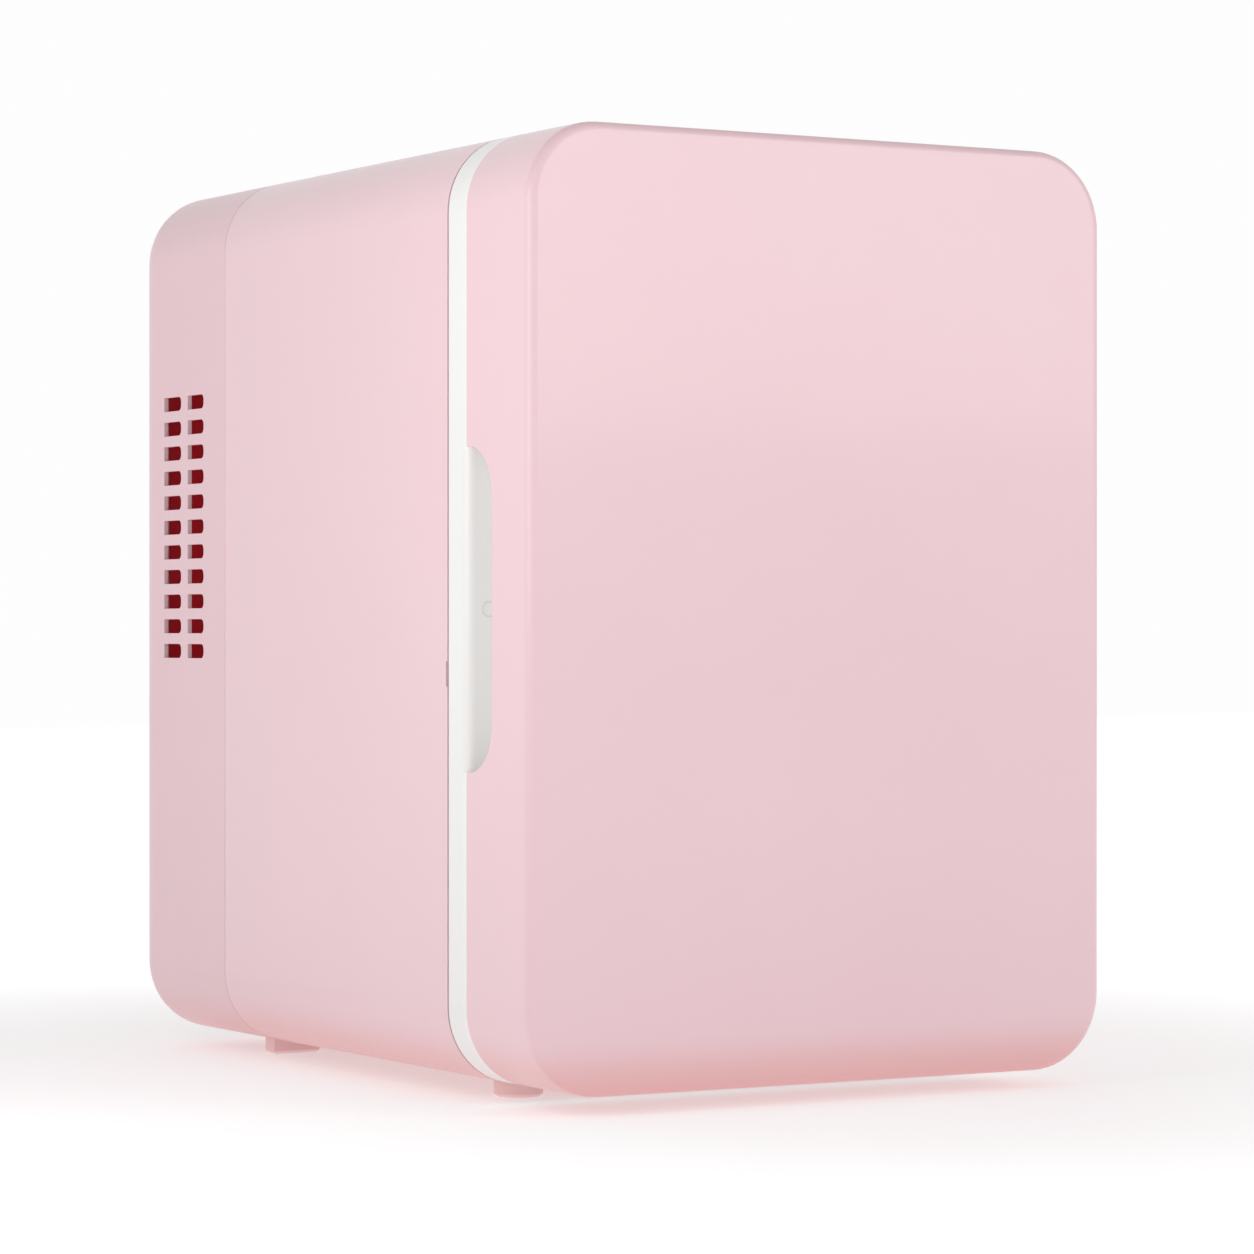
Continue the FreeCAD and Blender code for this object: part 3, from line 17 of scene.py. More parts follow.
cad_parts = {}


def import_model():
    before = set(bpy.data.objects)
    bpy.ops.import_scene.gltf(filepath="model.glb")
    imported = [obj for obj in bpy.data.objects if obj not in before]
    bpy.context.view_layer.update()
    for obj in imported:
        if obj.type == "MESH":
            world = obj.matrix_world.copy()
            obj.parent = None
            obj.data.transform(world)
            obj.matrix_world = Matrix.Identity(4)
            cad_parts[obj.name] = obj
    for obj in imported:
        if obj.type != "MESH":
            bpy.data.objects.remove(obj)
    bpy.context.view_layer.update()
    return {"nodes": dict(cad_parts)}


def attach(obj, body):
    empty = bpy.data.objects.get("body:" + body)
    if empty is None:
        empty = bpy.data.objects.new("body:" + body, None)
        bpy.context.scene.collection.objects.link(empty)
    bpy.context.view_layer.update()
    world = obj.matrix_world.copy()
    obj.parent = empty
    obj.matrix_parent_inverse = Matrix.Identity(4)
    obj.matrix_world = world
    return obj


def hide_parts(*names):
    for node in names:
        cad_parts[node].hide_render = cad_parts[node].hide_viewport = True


LOG = logging.getLogger("fridge")
MM = 0.001
SHARP_ANGLE = math.radians(32)

Colour = tuple[float, float, float]
Socket = bpy.types.NodeSocket


class Axis(Enum):
    """The axis that a turned piece stands along."""

    X = Matrix.Rotation(math.radians(90), 4, "Y")
    Y = Matrix.Rotation(math.radians(-90), 4, "X")
    Z = Matrix.Identity(4)


class Grain(Enum):
    """How fine the texture on a moulded skin is, as cells per metre."""

    SATIN = 900.0
    SPARK = 2200.0
    SMOOTH = 400.0


# ------------------------------------------------------------------------------------------ shader groups
class ShaderGroups:
    """Effects that more than one finish uses, each built once."""

    def __init__(self) -> None:
        """Build the groups."""
        self.skin = self._skin()
        self.brush = self._brush()
        self.cells = self._cells()

    @staticmethod
    def _start(name: str, inputs: Sequence[tuple[str, str, float]], outputs: Sequence[tuple[str, str]]):
        """Open a shader group.

        Args:
            name: the group's name.
            inputs: name, socket type and default of each input.
            outputs: name and socket type of each output.

        Returns:
            The group with its input node and its output node.
        """
        group = bpy.data.node_groups.new(name, "ShaderNodeTree")
        for label, kind, default in inputs:
            socket = group.interface.new_socket(name=label, in_out="INPUT", socket_type=kind)
            if kind == "NodeSocketFloat":
                socket.default_value = default
        for label, kind in outputs:
            group.interface.new_socket(name=label, in_out="OUTPUT", socket_type=kind)
        return group, group.nodes.new("NodeGroupInput"), group.nodes.new("NodeGroupOutput")

    @staticmethod
    def _noise(group: bpy.types.NodeTree, vector: Socket, scale: float | Socket, detail: float) -> Socket:
        """Add a noise texture.

        Args:
            group: the tree that takes it.
            vector: the coordinates.
            scale: cells per metre, a number or a socket.
            detail: octaves.

        Returns:
            The noise value.
        """
        noise = group.nodes.new("ShaderNodeTexNoise")
        group.links.new(vector, noise.inputs["Vector"])
        if isinstance(scale, (int, float)):
            noise.inputs["Scale"].default_value = scale
        else:
            group.links.new(scale, noise.inputs["Scale"])
        noise.inputs["Detail"].default_value = detail
        return noise.outputs["Fac"]

    @staticmethod
    def _math(group: bpy.types.NodeTree, kind: str, first: Socket | float, second: Socket | float) -> Socket:
        """Add a maths node of two values and return its result."""
        node = group.nodes.new("ShaderNodeMath")
        node.operation = kind
        for slot, item in enumerate((first, second)):
            if isinstance(item, (int, float)):
                node.inputs[slot].default_value = item
            else:
                group.links.new(item, node.inputs[slot])
        return node.outputs[0]

    def _skin(self) -> bpy.types.NodeTree:
        """A moulded skin: slow tone drift, fine grain height and roughness that varies a little."""
        group, start, end = self._start(
            "moulded_skin",
            [("Vector", "NodeSocketVector", 0), ("Grain", "NodeSocketFloat", 900),
             ("Roughness", "NodeSocketFloat", 0.3),
             ("Spread", "NodeSocketFloat", 0.06)],
            [("Tone", "NodeSocketFloat"), ("Roughness", "NodeSocketFloat"), ("Height", "NodeSocketFloat")])
        vector = start.outputs["Vector"]
        drift = self._noise(group, vector, 11.0, 2.0)
        patch = self._noise(group, vector, 34.0, 3.0)
        tone = self._math(group, "ADD", self._math(group, "MULTIPLY", drift, 0.7),
                          self._math(group, "MULTIPLY", patch, 0.3))
        group.links.new(tone, end.inputs["Tone"])
        smear = self._math(group, "SUBTRACT", self._noise(group, vector, 90.0, 4.0), 0.5)
        spread = self._math(group, "MULTIPLY", smear, start.outputs["Spread"])
        group.links.new(self._math(group, "ADD", start.outputs["Roughness"], spread), end.inputs["Roughness"])
        grain = self._noise(group, vector, start.outputs["Grain"], 2.0)
        ripple = self._noise(group, vector, 70.0, 1.0)
        height = self._math(group, "ADD", self._math(group, "MULTIPLY", grain, 0.35),
                            self._math(group, "MULTIPLY", ripple, 0.65))
        group.links.new(height, end.inputs["Height"])
        return group

    def _brush(self) -> bpy.types.NodeTree:
        """Drawn or milled metal: long fine scratches along one axis and dull patches."""
        group, start, end = self._start(
            "drawn_metal",
            [("Vector", "NodeSocketVector", 0), ("Roughness", "NodeSocketFloat", 0.3)],
            [("Tone", "NodeSocketFloat"), ("Roughness", "NodeSocketFloat"), ("Height", "NodeSocketFloat")])
        stretch = group.nodes.new("ShaderNodeMapping")
        stretch.inputs["Scale"].default_value = (1.0, 1.0, 0.04)
        group.links.new(start.outputs["Vector"], stretch.inputs["Vector"])
        lines = self._noise(group, stretch.outputs["Vector"], 2600.0, 3.0)
        dull = self._noise(group, start.outputs["Vector"], 120.0, 4.0)
        group.links.new(dull, end.inputs["Tone"])
        spread = self._math(group, "MULTIPLY", self._math(group, "SUBTRACT", dull, 0.5), 0.25)
        group.links.new(self._math(group, "ADD", start.outputs["Roughness"], spread), end.inputs["Roughness"])
        group.links.new(lines, end.inputs["Height"])
        return group

    def _cells(self) -> bpy.types.NodeTree:
        """Closed foam cells: height and tone of small bubbles."""
        group, start, end = self._start(
            "foam_cells", [("Vector", "NodeSocketVector", 0), ("Cells", "NodeSocketFloat", 700)],
            [("Tone", "NodeSocketFloat"), ("Height", "NodeSocketFloat")])
        bubbles = group.nodes.new("ShaderNodeTexVoronoi")
        group.links.new(start.outputs["Vector"], bubbles.inputs["Vector"])
        group.links.new(start.outputs["Cells"], bubbles.inputs["Scale"])
        group.links.new(bubbles.outputs["Distance"], end.inputs["Height"])
        group.links.new(self._noise(group, start.outputs["Vector"], 45.0, 4.0), end.inputs["Tone"])
        return group


# ------------------------------------------------------------------------------------------ finishes
@dataclass(frozen=True)
class Finish:
    """What every finish holds: a name, two tones that the surface drifts between, and its gloss."""

    name: str
    colour: Colour
    shade: Colour
    roughness: float

    def open(self) -> tuple[bpy.types.Material, bpy.types.NodeTree, bpy.types.Node, Socket]:
        """Start the material.

        Returns:
            The material, its tree, its Principled shader and its object coordinates.
        """
        material = bpy.data.materials.new(self.name)
        material.use_nodes = True
        tree = material.node_tree
        shader = tree.nodes["Principled BSDF"]
        place = tree.nodes.new("ShaderNodeTexCoord")
        return material, tree, shader, place.outputs["Object"]

    def tint(self, tree: bpy.types.NodeTree, shader: bpy.types.Node, factor: Socket,
             low: float = 0.3, high: float = 0.7) -> None:
        """Drift the base colour between the two tones.

        Args:
            tree: the material's tree.
            shader: its Principled shader.
            factor: the value that chooses between the tones.
            low: the value that gives the first tone.
            high: the value that gives the second tone.
        """
        ramp = tree.nodes.new("ShaderNodeMapRange")
        ramp.inputs["From Min"].default_value = low
        ramp.inputs["From Max"].default_value = high
        tree.links.new(factor, ramp.inputs["Value"])
        mix = tree.nodes.new("ShaderNodeMix")
        mix.data_type = "RGBA"
        mix.inputs[6].default_value = (*self.colour, 1.0)
        mix.inputs[7].default_value = (*self.shade, 1.0)
        tree.links.new(ramp.outputs["Result"], mix.inputs[0])
        tree.links.new(mix.outputs[2], shader.inputs["Base Color"])

    @staticmethod
    def emboss(tree: bpy.types.NodeTree, shader: bpy.types.Node, height: Socket, depth: float,
               strength: float = 1.0) -> None:
        """Feed a height into the shader's normal.

        Args:
            tree: the material's tree.
            shader: its Principled shader.
            height: the height, from 0 to 1.
            depth: what 1 stands for, in metres.
            strength: how much of it is used.
        """
        bump = tree.nodes.new("ShaderNodeBump")
        bump.inputs["Distance"].default_value = depth
        bump.inputs["Strength"].default_value = strength
        tree.links.new(height, bump.inputs["Height"])
        tree.links.new(bump.outputs["Normal"], shader.inputs["Normal"])


@dataclass(frozen=True)
class Plastic(Finish):
    """Moulded plastic."""

    grain: Grain = Grain.SATIN
    depth: float = 0.00002
    spread: float = 0.06
    coat: float = 0.0
    clear: float = 0.0
    soft: float = 0.0
    # painted shade: a darker, redder pink towards the lower edge, for shade and floor bounce light
    bounce_shade: Colour | None = None
    bounce_shade_from: float = 0.021
    bounce_shade_to: float = 0.0055

    def paint_bounce_shade(self, tree: bpy.types.NodeTree, shader: bpy.types.Node, place: Socket) -> None:
        """Paint shade and bounced floor light into the base colour towards the body's lower edge: a darker,
        redder pink.

        Args:
            tree: the material's tree.
            shader: its Principled shader.
            place: its object coordinates.
        """
        split = tree.nodes.new("ShaderNodeSeparateXYZ")
        tree.links.new(place, split.inputs["Vector"])
        fade = tree.nodes.new("ShaderNodeMapRange")
        fade.interpolation_type = "SMOOTHSTEP"
        fade.inputs["From Min"].default_value = self.bounce_shade_from
        fade.inputs["From Max"].default_value = self.bounce_shade_to
        tree.links.new(split.outputs["Z"], fade.inputs["Value"])
        mix = tree.nodes.new("ShaderNodeMix")
        mix.data_type = "RGBA"
        tree.links.new(fade.outputs["Result"], mix.inputs[0])
        tree.links.new(shader.inputs["Base Color"].links[0].from_socket, mix.inputs[6])
        mix.inputs[7].default_value = (*self.bounce_shade, 1.0)
        tree.links.new(mix.outputs[2], shader.inputs["Base Color"])

    def make(self, groups: ShaderGroups) -> bpy.types.Material:
        """Build the material from the shared skin."""
        material, tree, shader, place = self.open()
        skin = tree.nodes.new("ShaderNodeGroup")
        skin.node_tree = groups.skin
        skin.inputs["Grain"].default_value = self.grain.value
        skin.inputs["Roughness"].default_value = self.roughness
        skin.inputs["Spread"].default_value = self.spread
        tree.links.new(place, skin.inputs["Vector"])
        tree.links.new(skin.outputs["Roughness"], shader.inputs["Roughness"])
        self.tint(tree, shader, skin.outputs["Tone"])
        # painted shade and bounce light at the lower edge
        if self.bounce_shade:
            self.paint_bounce_shade(tree, shader, place)
        self.emboss(tree, shader, skin.outputs["Height"], self.depth)
        shader.inputs["Coat Weight"].default_value = self.coat
        shader.inputs["Coat Roughness"].default_value = 0.09
        shader.inputs["Transmission Weight"].default_value = self.clear
        if self.soft:
            shader.inputs["Subsurface Weight"].default_value = self.soft
            shader.inputs["Subsurface Radius"].default_value = (0.004, 0.002, 0.002)
            shader.inputs["Subsurface Scale"].default_value = 1.0
        return material


@dataclass(frozen=True)
class Hollow(Plastic):
    """A moulded cover whose inner faces, seen through its vents, get painted shade (a deep red) and a little
    painted light as emission.

    Attributes:
        shaded_inside: painted shade, the deep red colour of the inner faces.
        painted_glow: painted light on the inner faces, added as emission.
        half: half the width and half the height of the space inside.
        corner: radius of its long corners.
        face: how far back it reaches.
        step_at: where its corners step in towards the rear face.
        step_in: by how much they do.
        middle: height of its middle.
        band: lowest and highest level of the coloured faces, which leaves out the screw bores and the panel.
    """

    # painted shade: a deep red for the inner faces seen through the vents; the next line is painted light
    # that they give off as emission
    shaded_inside: Colour = (0.55, 0.010, 0.020)
    painted_glow: Colour = (0.100, 0.003, 0.005)
    half: tuple[float, float] = (0.08556, 0.12056)
    corner: float = 0.01806
    face: float = 0.11756
    step_at: float = 0.1099
    step_in: float = 0.0034
    middle: float = 0.128
    band: tuple[float, float] = (0.070, 0.214)

    def make(self, groups: ShaderGroups) -> bpy.types.Material:
        """Build the skin, then paint shade and a little light onto the cover's inner faces."""
        material = super().make(groups)
        tree = material.node_tree
        shader = tree.nodes["Principled BSDF"]
        coords = tree.nodes.new("ShaderNodeTexCoord")
        split = tree.nodes.new("ShaderNodeSeparateXYZ")
        tree.links.new(coords.outputs["Object"], split.inputs["Vector"])
        rise = self.node(tree, "SUBTRACT", split.outputs["Z"], self.middle)
        legs = []
        for socket, half in ((split.outputs["X"], self.half[0]), (rise, self.half[1])):
            over = self.node(tree, "SUBTRACT", self.node(tree, "ABSOLUTE", socket), half - self.corner)
            leg = self.node(tree, "MAXIMUM", over, 0.0)
            legs.append(self.node(tree, "MULTIPLY", leg, leg))
        reach = self.node(tree, "SQRT", self.node(tree, "ADD", *legs))
        narrow = self.node(tree, "MULTIPLY",
                           self.node(tree, "GREATER_THAN", split.outputs["Y"], self.step_at),
                           self.step_in)
        within = self.node(tree, "LESS_THAN", self.node(tree, "ADD", reach, narrow), self.corner)
        within = self.node(tree, "MULTIPLY", within,
                           self.node(tree, "LESS_THAN", split.outputs["Y"], self.face))
        above = self.node(tree, "GREATER_THAN", split.outputs["Z"], self.band[0])
        below = self.node(tree, "LESS_THAN", split.outputs["Z"], self.band[1])
        within = self.node(tree, "MULTIPLY", within, self.node(tree, "MULTIPLY", above, below))
        # paint shade on the inner faces: a deep red base colour
        mix = tree.nodes.new("ShaderNodeMix")
        mix.data_type = "RGBA"
        tree.links.new(shader.inputs["Base Color"].links[0].from_socket, mix.inputs[6])
        mix.inputs[7].default_value = (*self.shaded_inside, 1.0)
        tree.links.new(within, mix.inputs[0])
        tree.links.new(mix.outputs[2], shader.inputs["Base Color"])
        # paint light on the inner faces: an emission, though they are no lamp
        light = tree.nodes.new("ShaderNodeMix")
        light.data_type = "RGBA"
        light.inputs[6].default_value = (0.0, 0.0, 0.0, 1.0)
        light.inputs[7].default_value = (*self.painted_glow, 1.0)
        tree.links.new(within, light.inputs[0])
        tree.links.new(light.outputs[2], shader.inputs["Emission Color"])
        shader.inputs["Emission Strength"].default_value = 1.0
        return material

    @staticmethod
    def node(tree: bpy.types.NodeTree, kind: str, first: Socket, second: Socket | float = 0.0) -> Socket:
        """Add a maths node and return its result."""
        maths = tree.nodes.new("ShaderNodeMath")
        maths.operation = kind
        tree.links.new(first, maths.inputs[0])
        if isinstance(second, (int, float)):
            maths.inputs[1].default_value = second
        else:
            tree.links.new(second, maths.inputs[1])
        return maths.outputs[0]


@dataclass(frozen=True)
class Metal(Finish):
    """Drawn, milled or plated metal."""

    depth: float = 0.000012

    def make(self, groups: ShaderGroups) -> bpy.types.Material:
        """Build the material from the shared brushing."""
        material, tree, shader, place = self.open()
        brush = tree.nodes.new("ShaderNodeGroup")
        brush.node_tree = groups.brush
        brush.inputs["Roughness"].default_value = self.roughness
        tree.links.new(place, brush.inputs["Vector"])
        tree.links.new(brush.outputs["Roughness"], shader.inputs["Roughness"])
        self.tint(tree, shader, brush.outputs["Tone"])
        self.emboss(tree, shader, brush.outputs["Height"], self.depth)
        shader.inputs["Metallic"].default_value = 1.0
        return material


@dataclass(frozen=True)
class Foam(Finish):
    """Closed cell foam or soft rubber sponge."""

    cells: float = 700.0
    depth: float = 0.0002

    def make(self, groups: ShaderGroups) -> bpy.types.Material:
        """Build the material from the shared cells."""
        material, tree, shader, place = self.open()
        cells = tree.nodes.new("ShaderNodeGroup")
        cells.node_tree = groups.cells
        cells.inputs["Cells"].default_value = self.cells
        tree.links.new(place, cells.inputs["Vector"])
        self.tint(tree, shader, cells.outputs["Tone"])
        self.emboss(tree, shader, cells.outputs["Height"], self.depth)
        shader.inputs["Roughness"].default_value = self.roughness
        return material


@dataclass(frozen=True)
class Laminate(Finish):
    """A printed circuit board: green mask over copper tracks."""

    track_pitch: float = 0.0028

    def make(self, groups: ShaderGroups) -> bpy.types.Material:
        """Build the material with a grid of tracks under the mask."""
        material, tree, shader, place = self.open()
        tracks = tree.nodes.new("ShaderNodeTexBrick")
        tracks.offset = 0.37
        tracks.inputs["Scale"].default_value = 1.0
        tracks.inputs["Mortar Size"].default_value = self.track_pitch * 0.14
        tracks.inputs["Brick Width"].default_value = self.track_pitch * 5
        tracks.inputs["Row Height"].default_value = self.track_pitch
        turn = tree.nodes.new("ShaderNodeMapping")
        turn.inputs["Rotation"].default_value = (math.radians(90), 0, 0)
        tree.links.new(place, turn.inputs["Vector"])
        tree.links.new(turn.outputs["Vector"], tracks.inputs["Vector"])
        self.tint(tree, shader, tracks.outputs["Fac"], 0.2, 0.8)
        self.emboss(tree, shader, tracks.outputs["Fac"], 0.00004)
        skin = tree.nodes.new("ShaderNodeGroup")
        skin.node_tree = groups.skin
        skin.inputs["Roughness"].default_value = self.roughness
        tree.links.new(place, skin.inputs["Vector"])
        tree.links.new(skin.outputs["Roughness"], shader.inputs["Roughness"])
        return material


class Finishes:
    """Every finish of the fridge, made once."""

    # painted light in the door's grip: where it fades in along Y, and its emission colour
    GRIP_PAINTED_LIGHT_FADE = (-0.0848, -0.0868)
    GRIP_PAINTED_LIGHT: Colour = (0.026, 0.025, 0.020)
    TABLE: tuple[Finish, ...] = (
        Plastic("shell_pink", (0.830, 0.588, 0.630), (0.815, 0.572, 0.614), 0.34, coat=0.32, depth=0.000012,
                spread=0.08,
                # painted shade: darker, redder pink towards the lower edge
                bounce_shade=(0.80, 0.43, 0.43)),
        # painted shade: the cover's pink is a little darker than shell_pink's, for the shade that falls
        # towards the rear
        Hollow("cover_pink", (0.800, 0.556, 0.596), (0.780, 0.538, 0.578), 0.36, coat=0.2, depth=0.000012,
               spread=0.08,
               # painted shade: darker, redder pink towards the lower edge
               bounce_shade=(0.76, 0.43, 0.44)),
        Plastic("foot_pink", (0.97, 0.72, 0.72), (0.95, 0.68, 0.68), 0.5, Grain.SPARK, 0.00003),
        Plastic("grip_pink", (0.81, 0.565, 0.607), (0.785, 0.54, 0.58), 0.45, Grain.SPARK, 0.00003),
        Plastic("door_white", (0.855, 0.855, 0.847), (0.835, 0.835, 0.825), 0.3, coat=0.2, depth=0.000012),
        Plastic("mark_white", (0.76, 0.755, 0.735), (0.72, 0.715, 0.695), 0.4, depth=0.000012),
        Plastic("frame_white", (0.83, 0.83, 0.825), (0.80, 0.80, 0.79), 0.35, depth=0.000014),
        Plastic("liner_white", (0.86, 0.87, 0.88), (0.82, 0.835, 0.85), 0.28, Grain.SMOOTH, 0.00003,
                coat=0.15),
        Plastic("shelf_white", (0.87, 0.88, 0.89), (0.83, 0.845, 0.86), 0.32, Grain.SMOOTH, 0.00002),
        Plastic("basket_clear", (0.90, 0.93, 0.95), (0.86, 0.90, 0.93), 0.2, Grain.SMOOTH, 0.00002,
                clear=0.75),
        Plastic("seal_grey", (0.62, 0.62, 0.61), (0.55, 0.55, 0.54), 0.6, Grain.SPARK, 0.00002),
        Plastic("panel_grey", (0.055, 0.055, 0.06), (0.04, 0.04, 0.045), 0.45, Grain.SPARK, 0.00004),
        Plastic("part_black", (0.022, 0.022, 0.023), (0.014, 0.014, 0.015), 0.42, Grain.SPARK, 0.00004),
        Plastic("rocker_black", (0.03, 0.03, 0.032), (0.02, 0.02, 0.021), 0.25, Grain.SATIN, 0.00002,
                coat=0.3),
        Plastic("fan_black", (0.02, 0.02, 0.021), (0.012, 0.012, 0.013), 0.38, Grain.SATIN, 0.00003),
        Plastic("lens_red", (0.55, 0.03, 0.03), (0.42, 0.02, 0.02), 0.12, Grain.SMOOTH, 0.00001, coat=0.6,
                clear=0.35),
        Plastic("lens_green", (0.08, 0.48, 0.12), (0.05, 0.38, 0.08), 0.12, Grain.SMOOTH, 0.00001, coat=0.6,
                clear=0.35),
        Plastic("lead_red", (0.42, 0.02, 0.02), (0.32, 0.015, 0.015), 0.4, Grain.SPARK, 0.00003),
        Plastic("lead_black", (0.02, 0.02, 0.02), (0.012, 0.012, 0.012), 0.42, Grain.SPARK, 0.00003),
        Plastic("sleeve_blue", (0.02, 0.05, 0.22), (0.015, 0.035, 0.16), 0.22, Grain.SMOOTH, 0.00001,
                coat=0.4),
        Plastic("connector_cream", (0.72, 0.68, 0.56), (0.66, 0.61, 0.5), 0.45, Grain.SPARK, 0.00003),
        Plastic("tape_yellow", (0.62, 0.42, 0.06), (0.52, 0.34, 0.04), 0.4, Grain.SATIN, 0.00004),
        Plastic("ceramic_white", (0.85, 0.85, 0.82), (0.78, 0.78, 0.75), 0.55, Grain.SPARK, 0.00003),
        Plastic("magnet_dark", (0.05, 0.045, 0.045), (0.03, 0.028, 0.028), 0.6, Grain.SPARK, 0.00005),
        Metal("alloy", (0.80, 0.81, 0.82), (0.70, 0.71, 0.72), 0.34),
        Metal("plate_alloy", (0.84, 0.85, 0.86), (0.76, 0.77, 0.78), 0.28),
        Metal("zinc_steel", (0.62, 0.62, 0.61), (0.48, 0.48, 0.47), 0.3),
        Metal("contact_brass", (0.83, 0.66, 0.32), (0.70, 0.53, 0.24), 0.25),
        Metal("core_steel", (0.25, 0.25, 0.26), (0.16, 0.16, 0.17), 0.5),
        Metal("copper_wire", (0.75, 0.36, 0.20), (0.60, 0.27, 0.14), 0.3),
        Foam("board_foam", (0.88, 0.82, 0.62), (0.80, 0.72, 0.50), 0.8),
        Foam("seal_foam", (0.10, 0.10, 0.10), (0.05, 0.05, 0.05), 0.85, 1400.0, 0.00012),
        Laminate("board_green", (0.015, 0.12, 0.045), (0.03, 0.24, 0.09), 0.3),
    )

    def __init__(self) -> None:
        """Build every material."""
        groups = ShaderGroups()
        self._made = {finish.name: finish.make(groups) for finish in self.TABLE}

    def paint_grip_light(self) -> None:
        """Paint light into the door's grip: an emission on the white liner's wall at the bottom of the grip
        lifts the shade of the recess.
        """
        tree = self["door_white"].node_tree
        shader = tree.nodes["Principled BSDF"]
        coords = tree.nodes.new("ShaderNodeTexCoord")
        split = tree.nodes.new("ShaderNodeSeparateXYZ")
        tree.links.new(coords.outputs["Object"], split.inputs["Vector"])
        fade = tree.nodes.new("ShaderNodeMapRange")
        fade.inputs["From Min"].default_value = self.GRIP_PAINTED_LIGHT_FADE[0]
        fade.inputs["From Max"].default_value = self.GRIP_PAINTED_LIGHT_FADE[1]
        tree.links.new(split.outputs["Y"], fade.inputs["Value"])
        # painted light: emission mixed in by the grip mask
        painted_glow = tree.nodes.new("ShaderNodeMix")
        painted_glow.data_type = "RGBA"
        painted_glow.inputs[6].default_value = (0.0, 0.0, 0.0, 1.0)
        painted_glow.inputs[7].default_value = (*self.GRIP_PAINTED_LIGHT, 1.0)
        tree.links.new(fade.outputs["Result"], painted_glow.inputs[0])
        tree.links.new(painted_glow.outputs[2], shader.inputs["Emission Color"])
        shader.inputs["Emission Strength"].default_value = 1.0

    def __getitem__(self, name: str) -> bpy.types.Material:
        """The material of that name."""
        return self._made[name]


# ------------------------------------------------------------------------------------------ mesh helpers
def finish_piece(name: str, mesh: bmesh.types.BMesh, material: bpy.types.Material, body: str,
                 replaces: Iterable[str] = (), sharp: float = SHARP_ANGLE) -> bpy.types.Object:
    """Turn a finished bmesh into a piece that rides on a body.

    Args:
        name: the piece's name.
        mesh: its shape, in place; it is freed.
        material: its finish.
        body: the body that it moves with.
        replaces: the frame nodes that it stands for.
        sharp: the angle past which an edge is drawn sharp.

    Returns:
        The piece.
    """
    bmesh.ops.recalc_face_normals(mesh, faces=mesh.faces)
    for face in mesh.faces:
        face.smooth = True
    for edge in mesh.edges:
        if len(edge.link_faces) == 2:
            edge.smooth = edge.calc_face_angle() < sharp
    data = bpy.data.meshes.new(name)
    mesh.to_mesh(data)
    mesh.free()
    piece = bpy.data.objects.new(name, data)
    bpy.context.scene.collection.objects.link(piece)
    data.materials.append(material)
    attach(piece, body)
    if replaces:
        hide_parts(*replaces)
    LOG.info("%s: %d faces on %s", name, len(data.polygons), body)
    return piece


def block(mesh: bmesh.types.BMesh, low: Sequence[float], high: Sequence[float], bevel: float = 0.0,
          segments: int = 2) -> list[bmesh.types.BMVert]:
    """Add a block with bevelled edges.

    Args:
        mesh: the shape that takes it.
        low: its lowest corner.
        high: its highest corner.
        bevel: the width of its edge rounding.
        segments: the steps of that rounding.

    Returns:
        Its vertices.
    """
    size = [b - a for a, b in zip(low, high)]
    centre = [(a + b) / 2 for a, b in zip(low, high)]
    place = Matrix.Translation(centre) @ Matrix.Diagonal((*size, 1.0))
    verts = bmesh.ops.create_cube(mesh, size=1.0, matrix=place)["verts"]
    if bevel:
        edges = list({edge for vert in verts for edge in vert.link_edges})
        result = bmesh.ops.bevel(mesh, geom=edges, offset=bevel, offset_type="OFFSET", segments=segments,
                                 profile=0.5, affect="EDGES", material=-1, clamp_overlap=True)
        verts = result["verts"]
    return verts


def turned(mesh: bmesh.types.BMesh, spot: Vector, axis: Axis, profile: Sequence[tuple[float, float]],
           steps: int = 40) -> None:
    """Spin a profile of radius and height into a closed solid of revolution.

    Args:
        mesh: the shape that takes it.
        spot: where the profile's foot stands.
        axis: the axis that it stands along.
        profile: pairs of radius and height, from the foot to the head, both on the axis.
        steps: the faces round it.
    """
    verts = [mesh.verts.new((radius, 0, height)) for radius, height in profile]
    edges = [mesh.edges.new(pair) for pair in zip(verts, verts[1:])]
    made = bmesh.ops.spin(mesh, geom=verts + edges, cent=(0, 0, 0), axis=(0, 0, 1), angle=math.tau,
                          steps=steps,
                          use_merge=True, use_duplicate=False)
    ring = {item for item in made["geom_last"] if isinstance(item, bmesh.types.BMVert)} | set(verts)
    whole = {vert for vert in ring}
    grow = set(whole)
    while grow:
        grow = {edge.other_vert(vert) for vert in grow for edge in vert.link_edges} - whole
        whole |= grow
    bmesh.ops.remove_doubles(mesh, verts=list(whole), dist=1e-7)
    alive = [vert for vert in whole if vert.is_valid]
    bmesh.ops.transform(mesh, matrix=Matrix.Translation(spot) @ axis.value, verts=alive)


def ring(mesh: bmesh.types.BMesh, radius: float, height: float, steps: int) -> list[bmesh.types.BMVert]:
    """Add a ring of vertices about Z and return them."""
    return [mesh.verts.new((radius * math.cos(math.tau * step / steps), radius
                            * math.sin(math.tau * step / steps),
                            height)) for step in range(steps)]


